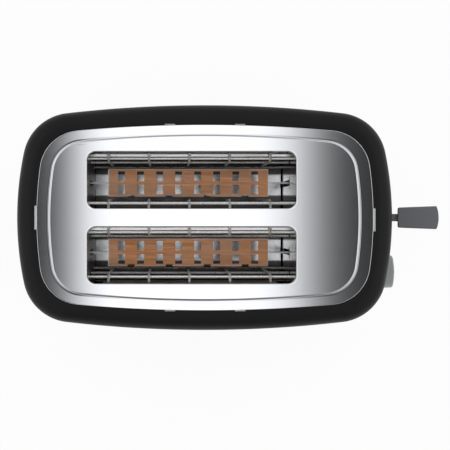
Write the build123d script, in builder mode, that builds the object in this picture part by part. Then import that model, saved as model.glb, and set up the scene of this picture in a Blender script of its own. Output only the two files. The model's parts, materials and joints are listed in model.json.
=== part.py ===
from build123d import *
import os
from math import sqrt

os.makedirs("parts", exist_ok=True)

# Two-slot pop-up toaster. Millimetres, +Z up, +X towards the lever end, near side at -Y.
# The origin is on the table, below the middle of the whole object with its lever.
# Distances along X below are counted from the middle of the body, not from the origin.

# Body, seen from above
BODY_LENGTH = 254.4
BODY_WIDTH = 152.0
BODY_SIDE_RADIUS = 840.0
BODY_END_RADIUS = 215.0
BODY_CORNER_RADIUS = 33.5
LEVER_REACH = 37.2
BODY_X = -LEVER_REACH / 2

# Body, seen from the side
FOOT_HEIGHT = 6.0
HOUSING_BOTTOM = 5.5
BODY_TOP = 182.9
CROWN_RADIUS = 2000.0
SHOULDER_RADIUS = 12.0
BELT_Z = 120.0
DRAFT_ANGLE = 1.4
WALL = 2.6

# Margins of the shaping blocks: how far a cut reaches past the material, and where tall blanks end
CUT_MARGIN = 1.0
BLANK_TOP = BODY_TOP + 2.0
CROWN_MARGIN = 20.0
PICK_GAP = 0.1

# Steel top plate with its raised panel, and the seat for it in the housing
PLATE_LENGTH = 226.5
PLATE_WIDTH = 124.6
PLATE_SIDE_RADIUS = 985.0
PLATE_END_RADIUS = 251.0
PLATE_CORNER_RADIUS = 28.0
PLATE_THICKNESS = 1.0
PLATE_SINK = 0.2
PLATE_GAP = 0.15
LEDGE_WIDTH = 5.0
PANEL_LENGTH = 207.3
PANEL_WIDTH = 109.3
PANEL_SIDE_RADIUS = 835.0
PANEL_END_RADIUS = 229.5
PANEL_CORNER_RADIUS = 21.0
PANEL_RISE = 1.3
PANEL_RAMP = 1.0

# Slots in the plate, with lips turned down
SLOT_LENGTH = 140.0
SLOT_WIDTH = 37.9
SLOT_CORNER = 5.5
SLOT_X = -9.0
SLOT_Y = 25.2
LIP_BOTTOM = 177.6
LIP_ROUND = 0.8

# Clips that hold the plate down: distance along the edge, length along it and width across it
END_CLIP_LENGTH = 16.0
END_CLIP_WIDTH = 1.8
SIDE_CLIP_X = 23.5
SIDE_CLIP_LENGTH = 7.0
SIDE_CLIP_WIDTH = 1.1
CLIP_HEIGHT = 0.3
CLIP_LEG = 0.8
CLIP_LEG_INSET = 1.0
CLIP_LEG_BOTTOM = 166.0

# Steel chassis: two end plates and two side sheets
SHEET = 1.0
CHASSIS_GAP = 144.0
CHASSIS_HALF_WIDTH = 58.0
CHASSIS_BOTTOM = 22.0
CHASSIS_TOP = 176.0
CHASSIS_LEG = 4.0
FRONT_PLATE_X = SLOT_X + CHASSIS_GAP / 2
REAR_PLATE_X = SLOT_X - CHASSIS_GAP / 2
SIDE_SHEET_Y = 56.0
SIDE_SHEET = 0.6
SIDE_SHEET_BOTTOM = 24.0
SIDE_SHEET_TOP = 172.0
SIDE_LIP = 5.0

# Racks that carry what goes into the slots, and their travel
RACK_X = -10.2
RACK_Z = 92.0
RACK_LENGTH = 116.0
RACK_HALF_WIDTH = 10.8
TRAVEL = 55.0
FINGER_PITCH = 27.6
FINGER_WIDTH = 5.0
FINGER_HEIGHT = 3.0
FINGERS = 5
RIM_HEIGHT = 1.6
NOTCH_DEPTH = 2.2
HOLE_PITCH = FINGER_PITCH / 2
HOLES = 8
HOLE_ROW_PITCH = 9.6
HOLE_LENGTH = 7.0
HOLE_WIDTH = 5.0
SPINE_SHEET = 1.2
SPINE_HEIGHT = 8.0
SPINE_TAIL = 5.0
RACK_SLOT_WIDTH = 4.2
RACK_SLOT_BOTTOM = 26.0
RACK_SLOT_TOP = 93.0
RACK_SLOT_HEAD = 9.0
RACK_SLOT_HEAD_HEIGHT = 5.0

# Wire guards on both sides of each slot
GUARD_X = -10.2
GUARD_OFFSET = 13.2
GUARD_HINGE_Z = 30.0
GUARD_WIRE_RADIUS = 0.8
GUARD_ROD_RADIUS = 1.0
GUARD_WIRES = 5
GUARD_WIRE_SIDES = 8
GUARD_BEND_Z = 158.0
GUARD_FLARE = 18.3
GUARD_TOP_Z = 164.5
GUARD_BEND_RADIUS = 4.0
GUARD_MIDDLE_Z = 95.0
GUARD_TOP_ROD = (15.3, 158.4)
PIN_LENGTH = 2.0
PIN_GAP = 0.08
WELD_BITE = 0.3
ROD_END_GAP = 0.5

# Lever: knob, stem and the steel strip inside it
LEVER_Z = 128.0
KNOB_INNER_X = 136.4
KNOB_SHOULDER_X = 162.9
KNOB_TIP_X = BODY_LENGTH / 2 + LEVER_REACH
KNOB_INNER_HALF = 7.1
KNOB_OUTER_HALF = 8.1
KNOB_HEIGHT = 14.0
KNOB_ROUND = 1.5
KNOB_POCKET_DEPTH = 1.6
KNOB_POCKET_WIDTH = 6.0
KNOB_POCKET_HEIGHT = 10.4
STEM_WIDTH = 4.6
STEM_HEIGHT = 9.0
STEM_ROUND = 1.0
STEM_X = 118.0
STRIP_SHEET = 2.0
STRIP_HEIGHT = 6.0
STRIP_GAP = 0.05
STRIP_END_X = 131.0

# Openings of the lever in the front end of the housing
END_CUT_X = 112.0
STEM_ROOM = 3.0
STEM_SIDE_GAP = 0.9
CHANNEL_WIDTH = 24.0
CHANNEL_LENGTH = 98.0
CHANNEL_DEPTH = 0.8

# Lift mechanism between the front end plate and the housing
BRACKET_X = FRONT_PLATE_X + 9.0
BRACKET_SHEET = 1.5
BRACKET_HALF_WIDTH = 34.0
BRACKET_BOTTOM = 83.0
BRACKET_SHOULDER = 104.0
BRACKET_TOP = 136.0
BRACKET_WEB = 22.0
BRACKET_CORNER = 4.0
ROD_X = 79.5
ROD_Y = 14.0
ROD_RADIUS = 3.0
ROD_GAP = 0.06
ROD_TOP = 168.0
ROD_CHAMFER = 0.6
EAR_HALF_WIDTH = 6.0
EAR_REACH = 12.0
EAR_HEIGHTS = (90.0, 131.0)
TOP_EAR_Z = 165.0
SPRING_Y = -14.0
SPRING_RADIUS = 4.0
SPRING_WIRE = 0.6
SPRING_TURNS = 6
SPRING_BOTTOM = 106.0
MAGNET_X = 94.0
MAGNET_DEPTH = 14.0
MAGNET_HALF_WIDTH = 11.0
MAGNET_TOP = 38.8
MAGNET_IRON = 2.5
MAGNET_POST_RADIUS = 3.5
COIL_RADIUS = 6.5
COIL_GAP = 0.1
ARMATURE_Z = 94.0
ARMATURE_SHEET = 2.0

# Browning dial, cancel button and the board behind them
DIAL_Y = -40.1
DIAL_Z = 60.0
DIAL_RADIUS = 12.6
DIAL_TAPER = 2.4
DIAL_BACK_X = 125.0
DIAL_FACE_X = 143.5
DIAL_ROUND = 1.6
DIAL_GROOVE_WIDTH = 1.2
DIAL_GROOVE_LENGTH = 7.0
DIAL_GROOVE_DEPTH = 0.8
SHAFT_RADIUS = 3.0
SHAFT_GAP = 0.05
SHAFT_SEAT = 1.0
SHAFT_DEPTH = 11.0
SHAFT_HOLE_RADIUS = 5.0
PAD_FACE_X = 124.6
PAD_HALF_WIDTH = 14.0
PAD_ROUND = 1.2
BUTTON_Z = 34.0
BUTTON_RADIUS = 6.0
BUTTON_GAP = 0.4
BUTTON_TRAVEL = 2.0
BUTTON_FACE_X = 126.8
BUTTON_FLANGE_X = 120.2
BUTTON_FLANGE = 1.5
BUTTON_FLANGE_RADIUS = 7.6
BUTTON_STEM_RADIUS = 2.0
BOARD_X = 104.0
BOARD_SHEET = 1.6
BOARD_Y = -38.5
BOARD_WIDTH = 37.0
BOARD_TOP = 84.0
CONTROL_RADIUS = 8.5
CONTROL_DEPTH = 8.0
CONTROL_BUSH_RADIUS = 4.5
CONTROL_BUSH_LENGTH = 5.0
SWITCH_SIZE = 6.0
SWITCH_DEPTH = 2.0

# Base cover with its feet and screws
COVER_TOP = 8.5
COVER_INSET = 5.7
COVER_RIM = 1.8
COVER_RIM_TOP = 13.5
VENT_LENGTH = 26.0
VENT_WIDTH = 4.0
VENT_PITCH = 14.0
VENT_COUNT = 9
VENT_ROW_GAP = 8.0
FOOT_PLACES = {
    "front_far": (94, 42),
    "front_near": (94, -42),
    "rear_far": (-94, 42),
    "rear_near": (-94, -42),
}
FOOT_RADIUS = 8.5
FOOT_TAPER = 8.0
BOSS_X = 88.0
BOSS_Y = 58.3
BOSS_RADIUS = 4.0
BOSS_TOP = 36.0
BOSS_RIB = 2.0
BOSS_RIB_BITE = 1.0
BOSS_RIB_BOTTOM = 16.0
BOSS_RIB_END = 66.5
SCREW_RADIUS = 1.35
SCREW_HOLE = 1.4
COVER_HOLE = 1.6
SCREW_HEAD_RADIUS = 3.0
SCREW_HEAD = 1.8
SCREW_TOP = 24.0

# Crumb tray, its front and the hatch for it in the rear end
TRAY_HALF_WIDTH = 50.0
TRAY_FRONT_X = 62.0
TRAY_REAR_X = -115.5
TRAY_Z = 11.0
TRAY_HEIGHT = 7.0
TRAY_SHEET = 0.8
TRAY_CORNER = 3.0
RUNNER_Y = 40.0
RUNNER_WIDTH = 2.4
RUNNER_END_GAP = 5.0
HATCH_HALF_WIDTH = 51.0
HATCH_BOTTOM = 9.4
HATCH_TOP = 22.6
HATCH_CORNER = 2.4
HATCH_DEPTH = 22.0
HATCH_GAP = 0.5
SCOOP_RADIUS = 5.0
SCOOP_HALF_WIDTH = 20.0
SCOOP_X = -124.5

# Cord bush low in the far side, the small plate that holds it, and the block that the wires end in
CORD_X = 72.0
CORD_Z = 20.0
CORD_BORE = 3.5
BUSH_RADIUS = 5.5
BUSH_FLANGE_RADIUS = 7.5
BUSH_INNER_Y = 64.0
BUSH_FACE_Y = 72.3
CORD_PLATE_WIDTH = 26.0
CORD_PLATE_TOP = 31.0
CORD_PLATE_GAP = 0.1
CORD_PLATE_LAP = 1.5
CORD_PLATE_LAP_BOTTOM = 14.5
CORD_PLATE_SHEET = 1.5
BLOCK_PLACE = (98, 46)
BLOCK_SIZE = (12, 20, 10)
BLOCK_CHAMFER = 1.0

# Heating elements: slotted cards with a ribbon wound round each
CARD_BOTTOM = 34.0
CARD_TOP = 158.0
CARD_SHEET = 0.6
CARD_EAR = 8.0
CARD_NECK = 9.0
OUTER_CARD_Y = SLOT_Y + 22.5
RIBBON_LOOPS = 10
RIBBON_PITCH = 10.0
RIBBON_TOP = 147.0
RIBBON_WIDTH = 1.8
RIBBON_SHEET = 0.3
RIBBON_END = 1.0


def level(z):
    """Horizontal plane at height z, its origin in the middle of the body."""
    return Plane((BODY_X, 0, z))


def across(x):
    """Plane square to the length, at x from the middle of the body: sketch x is Y, sketch y is Z."""
    return Plane(origin=(BODY_X + x, 0, 0), x_dir=(0, 1, 0), z_dir=(1, 0, 0))


def side_view(y=0.0):
    """Upright plane along the length: sketch x is X from the middle of the body, sketch y is Z."""
    return Plane(origin=(BODY_X, y, 0), x_dir=(1, 0, 0), z_dir=(0, -1, 0))


def save(piece, name):
    """Label a finished piece and write it to its own file."""
    piece.part.label = name
    export_step(piece.part, f"parts/{name}.step")


def arc_outline(length, width, side_radius, end_radius, corner_radius, inset=0.0):
    """Closed outline of eight tangent arcs, two long sides, two ends and four corners, moved in by inset."""
    half_length = length / 2 - inset
    half_width = width / 2 - inset
    side_radius -= inset
    end_radius -= inset
    corner_radius -= inset
    side_centre = Vector(0, half_width - side_radius)
    end_centre = Vector(half_length - end_radius, 0)
    between = end_centre - side_centre
    side_reach = side_radius - corner_radius
    end_reach = end_radius - corner_radius
    along = (side_reach**2 - end_reach**2 + between.length**2) / (2 * between.length)
    aside = sqrt(side_reach**2 - along**2)
    run = between.normalized()
    corner_centre = side_centre + run * along + Vector(run.Y, -run.X) * aside
    side_end = side_centre + (corner_centre - side_centre).normalized() * side_radius
    end_end = end_centre + (corner_centre - end_centre).normalized() * end_radius
    bisector = (side_end - corner_centre).normalized() + (end_end - corner_centre).normalized()
    corner = corner_centre + bisector.normalized() * corner_radius
    with BuildSketch() as outline:
        with BuildLine():
            for sign in (1, -1):
                side_y = sign * side_end.Y
                end_x = sign * end_end.X
                ThreePointArc((-side_end.X, side_y), (0, sign * half_width), (side_end.X, side_y))
                ThreePointArc((end_x, -end_end.Y), (sign * half_length, 0), (end_x, end_end.Y))
                for flip in (1, -1):
                    start = (sign * side_end.X, flip * side_end.Y)
                    middle = (sign * corner.X, flip * corner.Y)
                    ThreePointArc(start, middle, (end_x, flip * end_end.Y))
        make_face()
    return outline.sketch


def body_outline(inset=0.0):
    sizes = (BODY_LENGTH, BODY_WIDTH, BODY_SIDE_RADIUS, BODY_END_RADIUS, BODY_CORNER_RADIUS)
    return arc_outline(*sizes, inset)


def plate_outline(inset=0.0):
    sizes = (PLATE_LENGTH, PLATE_WIDTH, PLATE_SIDE_RADIUS, PLATE_END_RADIUS, PLATE_CORNER_RADIUS)
    return arc_outline(*sizes, inset)


def panel_outline(inset=0.0):
    sizes = (PANEL_LENGTH, PANEL_WIDTH, PANEL_SIDE_RADIUS, PANEL_END_RADIUS, PANEL_CORNER_RADIUS)
    return arc_outline(*sizes, inset)


def slot_outline(grow=0.0):
    """Both slots, made wider all round by grow."""
    with BuildSketch() as slots:
        with Locations((SLOT_X, SLOT_Y), (SLOT_X, -SLOT_Y)):
            RectangleRounded(SLOT_LENGTH + 2 * grow, SLOT_WIDTH + 2 * grow, SLOT_CORNER + grow)
    return slots.sketch


def upright(outline, bottom, top):
    """Straight-walled block over an outline, from bottom to top."""
    with BuildPart() as block:
        with BuildSketch(level(bottom)):
            add(outline)
        extrude(amount=top - bottom)
    return block.part


def under_crown(drop):
    """Block whose top is the body's gently arched top surface, lowered by drop."""
    half_span = BODY_LENGTH / 2 + CROWN_MARGIN
    sag = CROWN_RADIUS - sqrt(CROWN_RADIUS**2 - half_span**2)
    crest = BODY_TOP - drop
    end = crest - sag
    with BuildPart() as block:
        with BuildSketch(side_view()):
            with BuildLine():
                ThreePointArc((-half_span, end), (0, crest), (half_span, end))
                Polyline((half_span, end), (half_span, 0), (-half_span, 0), (-half_span, end))
            make_face()
        extrude(amount=BODY_WIDTH, both=True)
    return block.part


def housing_form(inset, bottom=HOUSING_BOTTOM):
    """Round-shouldered envelope of the housing, drafted below the belt, every face moved in by inset."""
    with BuildPart() as form:
        with BuildSketch(level(BELT_Z)):
            add(body_outline(inset))
        extrude(amount=BODY_TOP - BELT_Z)
        add(under_crown(inset), mode=Mode.INTERSECT)
        shoulder = form.faces().sort_by(Axis.Z)[-1].edges()
        fillet(shoulder, radius=SHOULDER_RADIUS - inset)
        with BuildSketch(level(BELT_Z)):
            add(body_outline(inset))
        extrude(amount=bottom - BELT_Z, taper=DRAFT_ANGLE)
    return form.part


def lever_channel():
    """Shallow long recess in the front end, of even depth under the curved wall."""
    with BuildPart() as channel:
        with BuildSketch(across(END_CUT_X)):
            with Locations((0, LEVER_Z - TRAVEL / 2)):
                SlotOverall(CHANNEL_LENGTH, CHANNEL_WIDTH, rotation=90)
        extrude(amount=BODY_LENGTH / 2 + CUT_MARGIN - END_CUT_X)
        add(housing_form(CHANNEL_DEPTH), mode=Mode.SUBTRACT)
    return channel.part


def clip_legs():
    """Upright legs of the clips, also cut out of the housing as their slits."""
    end_x = PLATE_LENGTH / 2 + PLATE_GAP + CLIP_LEG / 2
    side_y = PLATE_WIDTH / 2 + PLATE_GAP + CLIP_LEG / 2
    with BuildPart() as legs:
        with BuildSketch(level(CLIP_LEG_BOTTOM)):
            with Locations((end_x, 0), (-end_x, 0)):
                Rectangle(CLIP_LEG, END_CLIP_LENGTH - 2 * CLIP_LEG_INSET)
            with GridLocations(2 * SIDE_CLIP_X, 2 * side_y, 2, 2):
                Rectangle(SIDE_CLIP_LENGTH - 2 * CLIP_LEG_INSET, CLIP_LEG)
        extrude(amount=BODY_TOP + CLIP_HEIGHT - CLIP_LEG_BOTTOM)
        add(under_crown(0), mode=Mode.INTERSECT)
    return legs.part


def control_pad(inset):
    """Upright pad with a flat face behind the dial and the button, every face moved in by inset."""
    with BuildPart() as pad:
        with BuildSketch(across(END_CUT_X)):
            with Locations((DIAL_Y, (DIAL_Z + BUTTON_Z) / 2)):
                SlotCenterToCenter(DIAL_Z - BUTTON_Z, 2 * (PAD_HALF_WIDTH - inset), rotation=90)
        extrude(amount=PAD_FACE_X - inset - END_CUT_X)
        fillet(pad.faces().sort_by(Axis.X)[-1].edges(), radius=PAD_ROUND)
    return pad.part


def cord_window(grow, bottom):
    """Block through the far wall round the cord bush, moved out by grow at its sides and its top."""
    with BuildPart() as window:
        with BuildSketch(level(bottom)):
            with Locations((CORD_X, BODY_WIDTH / 2)):
                Rectangle(CORD_PLATE_WIDTH + 2 * grow, BODY_WIDTH - 2 * BUSH_INNER_Y)
        extrude(amount=CORD_PLATE_TOP + grow - bottom)
    return window.part


def make_outer_housing():
    """Moulded shell open at the bottom, with a seat for the steel plate and openings in both ends."""
    with BuildPart() as outer_housing:
        add(housing_form(0))
        add(control_pad(0))
        add(housing_form(WALL, HOUSING_BOTTOM - CUT_MARGIN), mode=Mode.SUBTRACT)
        add(control_pad(WALL), mode=Mode.SUBTRACT)
        # Seat that the steel plate lies in, and the wide opening below the plate
        seat = upright(plate_outline(-PLATE_GAP), CLIP_LEG_BOTTOM, BLANK_TOP)
        seat -= under_crown(PLATE_SINK + PLATE_THICKNESS)
        add(seat, mode=Mode.SUBTRACT)
        add(upright(plate_outline(LEDGE_WIDTH), CLIP_LEG_BOTTOM, BLANK_TOP), mode=Mode.SUBTRACT)
        add(clip_legs(), mode=Mode.SUBTRACT)
        # Channel round the lever, the slot for its stem, and the holes for the dial and the button
        add(lever_channel(), mode=Mode.SUBTRACT)
        with BuildSketch(across(END_CUT_X)):
            with Locations((0, LEVER_Z - TRAVEL / 2)):
                SlotOverall(TRAVEL + STEM_HEIGHT + 2 * STEM_ROOM, STEM_WIDTH + 2 * STEM_SIDE_GAP, rotation=90)
            with Locations((DIAL_Y, DIAL_Z)):
                Circle(SHAFT_HOLE_RADIUS)
            with Locations((DIAL_Y, BUTTON_Z)):
                Circle(BUTTON_RADIUS + BUTTON_GAP)
        extrude(amount=BODY_LENGTH / 2 + CUT_MARGIN - END_CUT_X, mode=Mode.SUBTRACT)
        # Hatch for the crumb tray in the rear end
        with BuildSketch(across(-BODY_LENGTH / 2 - CUT_MARGIN)):
            with Locations((0, (HATCH_BOTTOM + HATCH_TOP) / 2)):
                RectangleRounded(2 * HATCH_HALF_WIDTH, HATCH_TOP - HATCH_BOTTOM, HATCH_CORNER)
        extrude(amount=HATCH_DEPTH, mode=Mode.SUBTRACT)
        # Notch for the plate that holds the cord bush, open at the bottom edge
        add(cord_window(0, HOUSING_BOTTOM - CUT_MARGIN), mode=Mode.SUBTRACT)
        # Screw bosses, each tied to the wall by a rib
        with BuildSketch(level(COVER_TOP)):
            with GridLocations(2 * BOSS_X, 2 * BOSS_Y, 2, 2):
                Circle(BOSS_RADIUS)
                Circle(SCREW_HOLE, mode=Mode.SUBTRACT)
        extrude(amount=BOSS_TOP - COVER_TOP)
        rib_start = BOSS_Y + BOSS_RADIUS - BOSS_RIB_BITE
        with BuildSketch(level(BOSS_RIB_BOTTOM)):
            with GridLocations(2 * BOSS_X, rib_start + BOSS_RIB_END, 2, 2):
                Rectangle(BOSS_RIB, BOSS_RIB_END - rib_start)
        extrude(amount=BOSS_TOP - BOSS_RIB_BOTTOM)
    save(outer_housing, "outer_housing")


def plate_block(drop, inset):
    """Solid below the plate's surface with its raised panel, lowered by drop, the panel's side moved in."""
    rim = upright(plate_outline(), CLIP_LEG_BOTTOM, BLANK_TOP) & under_crown(PLATE_SINK + drop)
    with BuildPart() as panel:
        add(upright(panel_outline(inset), CLIP_LEG_BOTTOM, BLANK_TOP))
        add(under_crown(PLATE_SINK - PANEL_RISE + drop), mode=Mode.INTERSECT)
        chamfer(panel.faces().sort_by(Axis.Z)[-1].edges(), length=PANEL_RAMP)
    return rim + panel.part


def make_top_plate():
    """Arched steel sheet with a raised panel and two slots, their lips turned down."""
    lip_zone = SLOT_WIDTH / 2 + PICK_GAP
    with BuildPart() as top_plate:
        add(plate_block(0, 0))
        add(plate_block(PLATE_THICKNESS, PLATE_THICKNESS / 2), mode=Mode.SUBTRACT)
        lips = upright(slot_outline(PLATE_THICKNESS), LIP_BOTTOM, BLANK_TOP)
        add(lips & under_crown(PLATE_SINK - PANEL_RISE))
        add(upright(slot_outline(), LIP_BOTTOM - CUT_MARGIN, BLANK_TOP), mode=Mode.SUBTRACT)
        mouth = top_plate.edges().filter_by(
            lambda edge: edge.center().Z > LIP_BOTTOM + PLATE_THICKNESS
            and abs(abs(edge.center().Y) - SLOT_Y) < lip_zone
            and abs(edge.center().X - BODY_X - SLOT_X) < SLOT_LENGTH / 2 + PICK_GAP
        )
        fillet(mouth.filter_by(lambda edge: abs(edge.tangent_at(0.5).Z) < 0.5), radius=LIP_ROUND)
    save(top_plate, "top_plate")


def make_plate_clips():
    """Bent steel clips over the joint of plate and housing, two long at the ends and four short at the sides."""
    end_x = PLATE_LENGTH / 2 + PLATE_GAP + CLIP_LEG - END_CLIP_WIDTH / 2
    side_y = PLATE_WIDTH / 2 + PLATE_GAP + CLIP_LEG - SIDE_CLIP_WIDTH / 2
    with BuildPart() as plate_clips:
        with BuildSketch(level(CLIP_LEG_BOTTOM)):
            with Locations((end_x, 0), (-end_x, 0)):
                Rectangle(END_CLIP_WIDTH, END_CLIP_LENGTH)
            with GridLocations(2 * SIDE_CLIP_X, 2 * side_y, 2, 2):
                Rectangle(SIDE_CLIP_LENGTH, SIDE_CLIP_WIDTH)
        extrude(amount=BLANK_TOP - CLIP_LEG_BOTTOM)
        add(under_crown(-CLIP_HEIGHT), mode=Mode.INTERSECT)
        add(under_crown(0), mode=Mode.SUBTRACT)
        add(clip_legs())
    save(plate_clips, "plate_clips")


def make_base_cover():
    """Moulded floor with an upturned rim, vents, runners for the tray and holes for its screws."""
    tray_middle = (TRAY_FRONT_X + TRAY_REAR_X) / 2
    with BuildPart() as base_cover:
        add(upright(body_outline(COVER_INSET), FOOT_HEIGHT, COVER_TOP))
        rim = upright(body_outline(COVER_INSET), COVER_TOP, COVER_RIM_TOP)
        add(rim - upright(body_outline(COVER_INSET + COVER_RIM), COVER_TOP, COVER_RIM_TOP))
        # Way through the rim for the tray
        with BuildSketch(level(COVER_TOP)):
            with Locations((-BODY_LENGTH / 2 + HATCH_DEPTH / 2, 0)):
                Rectangle(HATCH_DEPTH, 2 * HATCH_HALF_WIDTH)
        extrude(amount=COVER_RIM_TOP - COVER_TOP, mode=Mode.SUBTRACT)
        with BuildSketch(level(COVER_TOP)):
            with Locations((tray_middle, RUNNER_Y), (tray_middle, -RUNNER_Y)):
                Rectangle(TRAY_FRONT_X - TRAY_REAR_X - 2 * RUNNER_END_GAP, RUNNER_WIDTH)
        extrude(amount=TRAY_Z - COVER_TOP)
        with BuildSketch(level(FOOT_HEIGHT)):
            with Locations((SLOT_X, 0)):
                with GridLocations(VENT_PITCH, VENT_LENGTH + VENT_ROW_GAP, VENT_COUNT, 2):
                    SlotOverall(VENT_LENGTH, VENT_WIDTH, rotation=90)
            with GridLocations(2 * BOSS_X, 2 * BOSS_Y, 2, 2):
                Circle(COVER_HOLE)
        extrude(amount=COVER_TOP - FOOT_HEIGHT, mode=Mode.SUBTRACT)
    save(base_cover, "base_cover")


def make_feet():
    """Four tapered rubber feet under the corners, each its own piece."""
    for place, (x, y) in FOOT_PLACES.items():
        with BuildPart() as foot:
            with BuildSketch(level(FOOT_HEIGHT)):
                with Locations((x, y)):
                    Circle(FOOT_RADIUS)
            extrude(amount=-FOOT_HEIGHT, taper=FOOT_TAPER)
        save(foot, f"foot_{place}")


def make_base_screws():
    """Four identical screws that hold the base cover to the bosses."""
    with BuildPart() as base_screws:
        with BuildSketch(level(FOOT_HEIGHT - SCREW_HEAD)):
            with GridLocations(2 * BOSS_X, 2 * BOSS_Y, 2, 2):
                Circle(SCREW_HEAD_RADIUS)
        extrude(amount=SCREW_HEAD)
        with BuildSketch(level(FOOT_HEIGHT)):
            with GridLocations(2 * BOSS_X, 2 * BOSS_Y, 2, 2):
                Circle(SCREW_RADIUS)
        extrude(amount=SCREW_TOP - FOOT_HEIGHT)
    save(base_screws, "base_screws")


def end_plate_sketch():
    """Outline of both end plates, with a guide slot for each rack and the holes that the guards turn in."""
    with BuildSketch() as outline:
        with Locations((0, (CHASSIS_BOTTOM + CHASSIS_TOP) / 2)):
            Rectangle(2 * CHASSIS_HALF_WIDTH, CHASSIS_TOP - CHASSIS_BOTTOM)
        leg_y = CHASSIS_HALF_WIDTH - CHASSIS_LEG / 2
        leg_z = (COVER_TOP + CHASSIS_BOTTOM) / 2
        with Locations((leg_y, leg_z), (-leg_y, leg_z)):
            Rectangle(CHASSIS_LEG, CHASSIS_BOTTOM - COVER_TOP)
        slot_z = (RACK_SLOT_BOTTOM + RACK_SLOT_TOP) / 2
        with Locations((SLOT_Y, slot_z), (-SLOT_Y, slot_z)):
            Rectangle(RACK_SLOT_WIDTH, RACK_SLOT_TOP - RACK_SLOT_BOTTOM, mode=Mode.SUBTRACT)
        head_z = RACK_SLOT_TOP + RACK_SLOT_HEAD_HEIGHT / 2
        with Locations((SLOT_Y, head_z), (-SLOT_Y, head_z)):
            Rectangle(RACK_SLOT_HEAD, RACK_SLOT_HEAD_HEIGHT, mode=Mode.SUBTRACT)
        for slot_y in (SLOT_Y, -SLOT_Y):
            with Locations((slot_y + GUARD_OFFSET, GUARD_HINGE_Z), (slot_y - GUARD_OFFSET, GUARD_HINGE_Z)):
                Circle(GUARD_ROD_RADIUS + PIN_GAP, mode=Mode.SUBTRACT)
    return outline.sketch


def make_front_end_plate():
    """End plate on the lever side, with a folded ear that holds the guide rod and the spring."""
    with BuildPart() as front_end_plate:
        with BuildSketch(across(FRONT_PLATE_X)):
            add(end_plate_sketch())
        extrude(amount=SHEET)
        ear_length = ROD_X + EAR_HALF_WIDTH - FRONT_PLATE_X
        with BuildSketch(level(TOP_EAR_Z)):
            with Locations((FRONT_PLATE_X + ear_length / 2, 0)):
                Rectangle(ear_length, 2 * (ROD_Y + EAR_HALF_WIDTH))
            with Locations((ROD_X, ROD_Y)):
                Circle(ROD_RADIUS + ROD_GAP, mode=Mode.SUBTRACT)
        extrude(amount=SHEET)
    save(front_end_plate, "front_end_plate")


def make_rear_end_plate():
    """Plain end plate at the other end of the slots."""
    with BuildPart() as rear_end_plate:
        with BuildSketch(across(REAR_PLATE_X - SHEET)):
            add(end_plate_sketch())
        extrude(amount=SHEET)
    save(rear_end_plate, "rear_end_plate")


def make_side_sheets():
    """Bright steel sheets outside the outer elements, each with a lip folded in at the bottom."""
    for place, side in (("near", -1), ("far", 1)):
        with BuildPart() as side_sheet:
            with BuildSketch(across(REAR_PLATE_X)):
                middle_z = (SIDE_SHEET_BOTTOM + SIDE_SHEET_TOP) / 2
                with Locations((side * (SIDE_SHEET_Y + SIDE_SHEET / 2), middle_z)):
                    Rectangle(SIDE_SHEET, SIDE_SHEET_TOP - SIDE_SHEET_BOTTOM)
                with Locations((side * (SIDE_SHEET_Y - SIDE_LIP / 2), SIDE_SHEET_BOTTOM + SIDE_SHEET / 2)):
                    Rectangle(SIDE_LIP, SIDE_SHEET)
            extrude(amount=CHASSIS_GAP)
        save(side_sheet, f"{place}_reflector")


def make_racks():
    """Two punched racks: floor, a notched rim on one edge, fingers on the other, and a spine below."""
    for place, y in (("near", -SLOT_Y), ("far", SLOT_Y)):
        notched_y = y - RACK_HALF_WIDTH
        finger_y = y + RACK_HALF_WIDTH - SHEET / 2
        with BuildPart() as rack:
            with BuildSketch(level(RACK_Z - SHEET)):
                with Locations((RACK_X, y)):
                    Rectangle(RACK_LENGTH, 2 * RACK_HALF_WIDTH)
                    with GridLocations(HOLE_PITCH, HOLE_ROW_PITCH, HOLES, 2):
                        Rectangle(HOLE_WIDTH, HOLE_LENGTH, mode=Mode.SUBTRACT)
            extrude(amount=SHEET)
            with BuildSketch(level(RACK_Z)):
                with Locations((RACK_X, notched_y + SHEET / 2)):
                    Rectangle(RACK_LENGTH, SHEET)
            extrude(amount=RIM_HEIGHT)
            with BuildSketch(level(RACK_Z - SHEET)):
                with Locations((RACK_X, notched_y)):
                    with GridLocations(FINGER_PITCH, 1, FINGERS - 1, 1):
                        Rectangle(FINGER_WIDTH, 2 * NOTCH_DEPTH, mode=Mode.ADD)
            extrude(amount=SHEET + RIM_HEIGHT, mode=Mode.SUBTRACT)
            with BuildSketch(level(RACK_Z)):
                with Locations((RACK_X, finger_y)):
                    with GridLocations(FINGER_PITCH, 1, FINGERS, 1):
                        Rectangle(FINGER_WIDTH, SHEET)
            extrude(amount=FINGER_HEIGHT)
            spine_start = REAR_PLATE_X - SHEET - SPINE_TAIL
            with BuildSketch(side_view(y)):
                with Locations(((spine_start + BRACKET_X) / 2, RACK_Z - SHEET - SPINE_HEIGHT / 2)):
                    Rectangle(BRACKET_X - spine_start, SPINE_HEIGHT)
            extrude(amount=SPINE_SHEET / 2, both=True)
        save(rack, f"{place}_rack")


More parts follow.
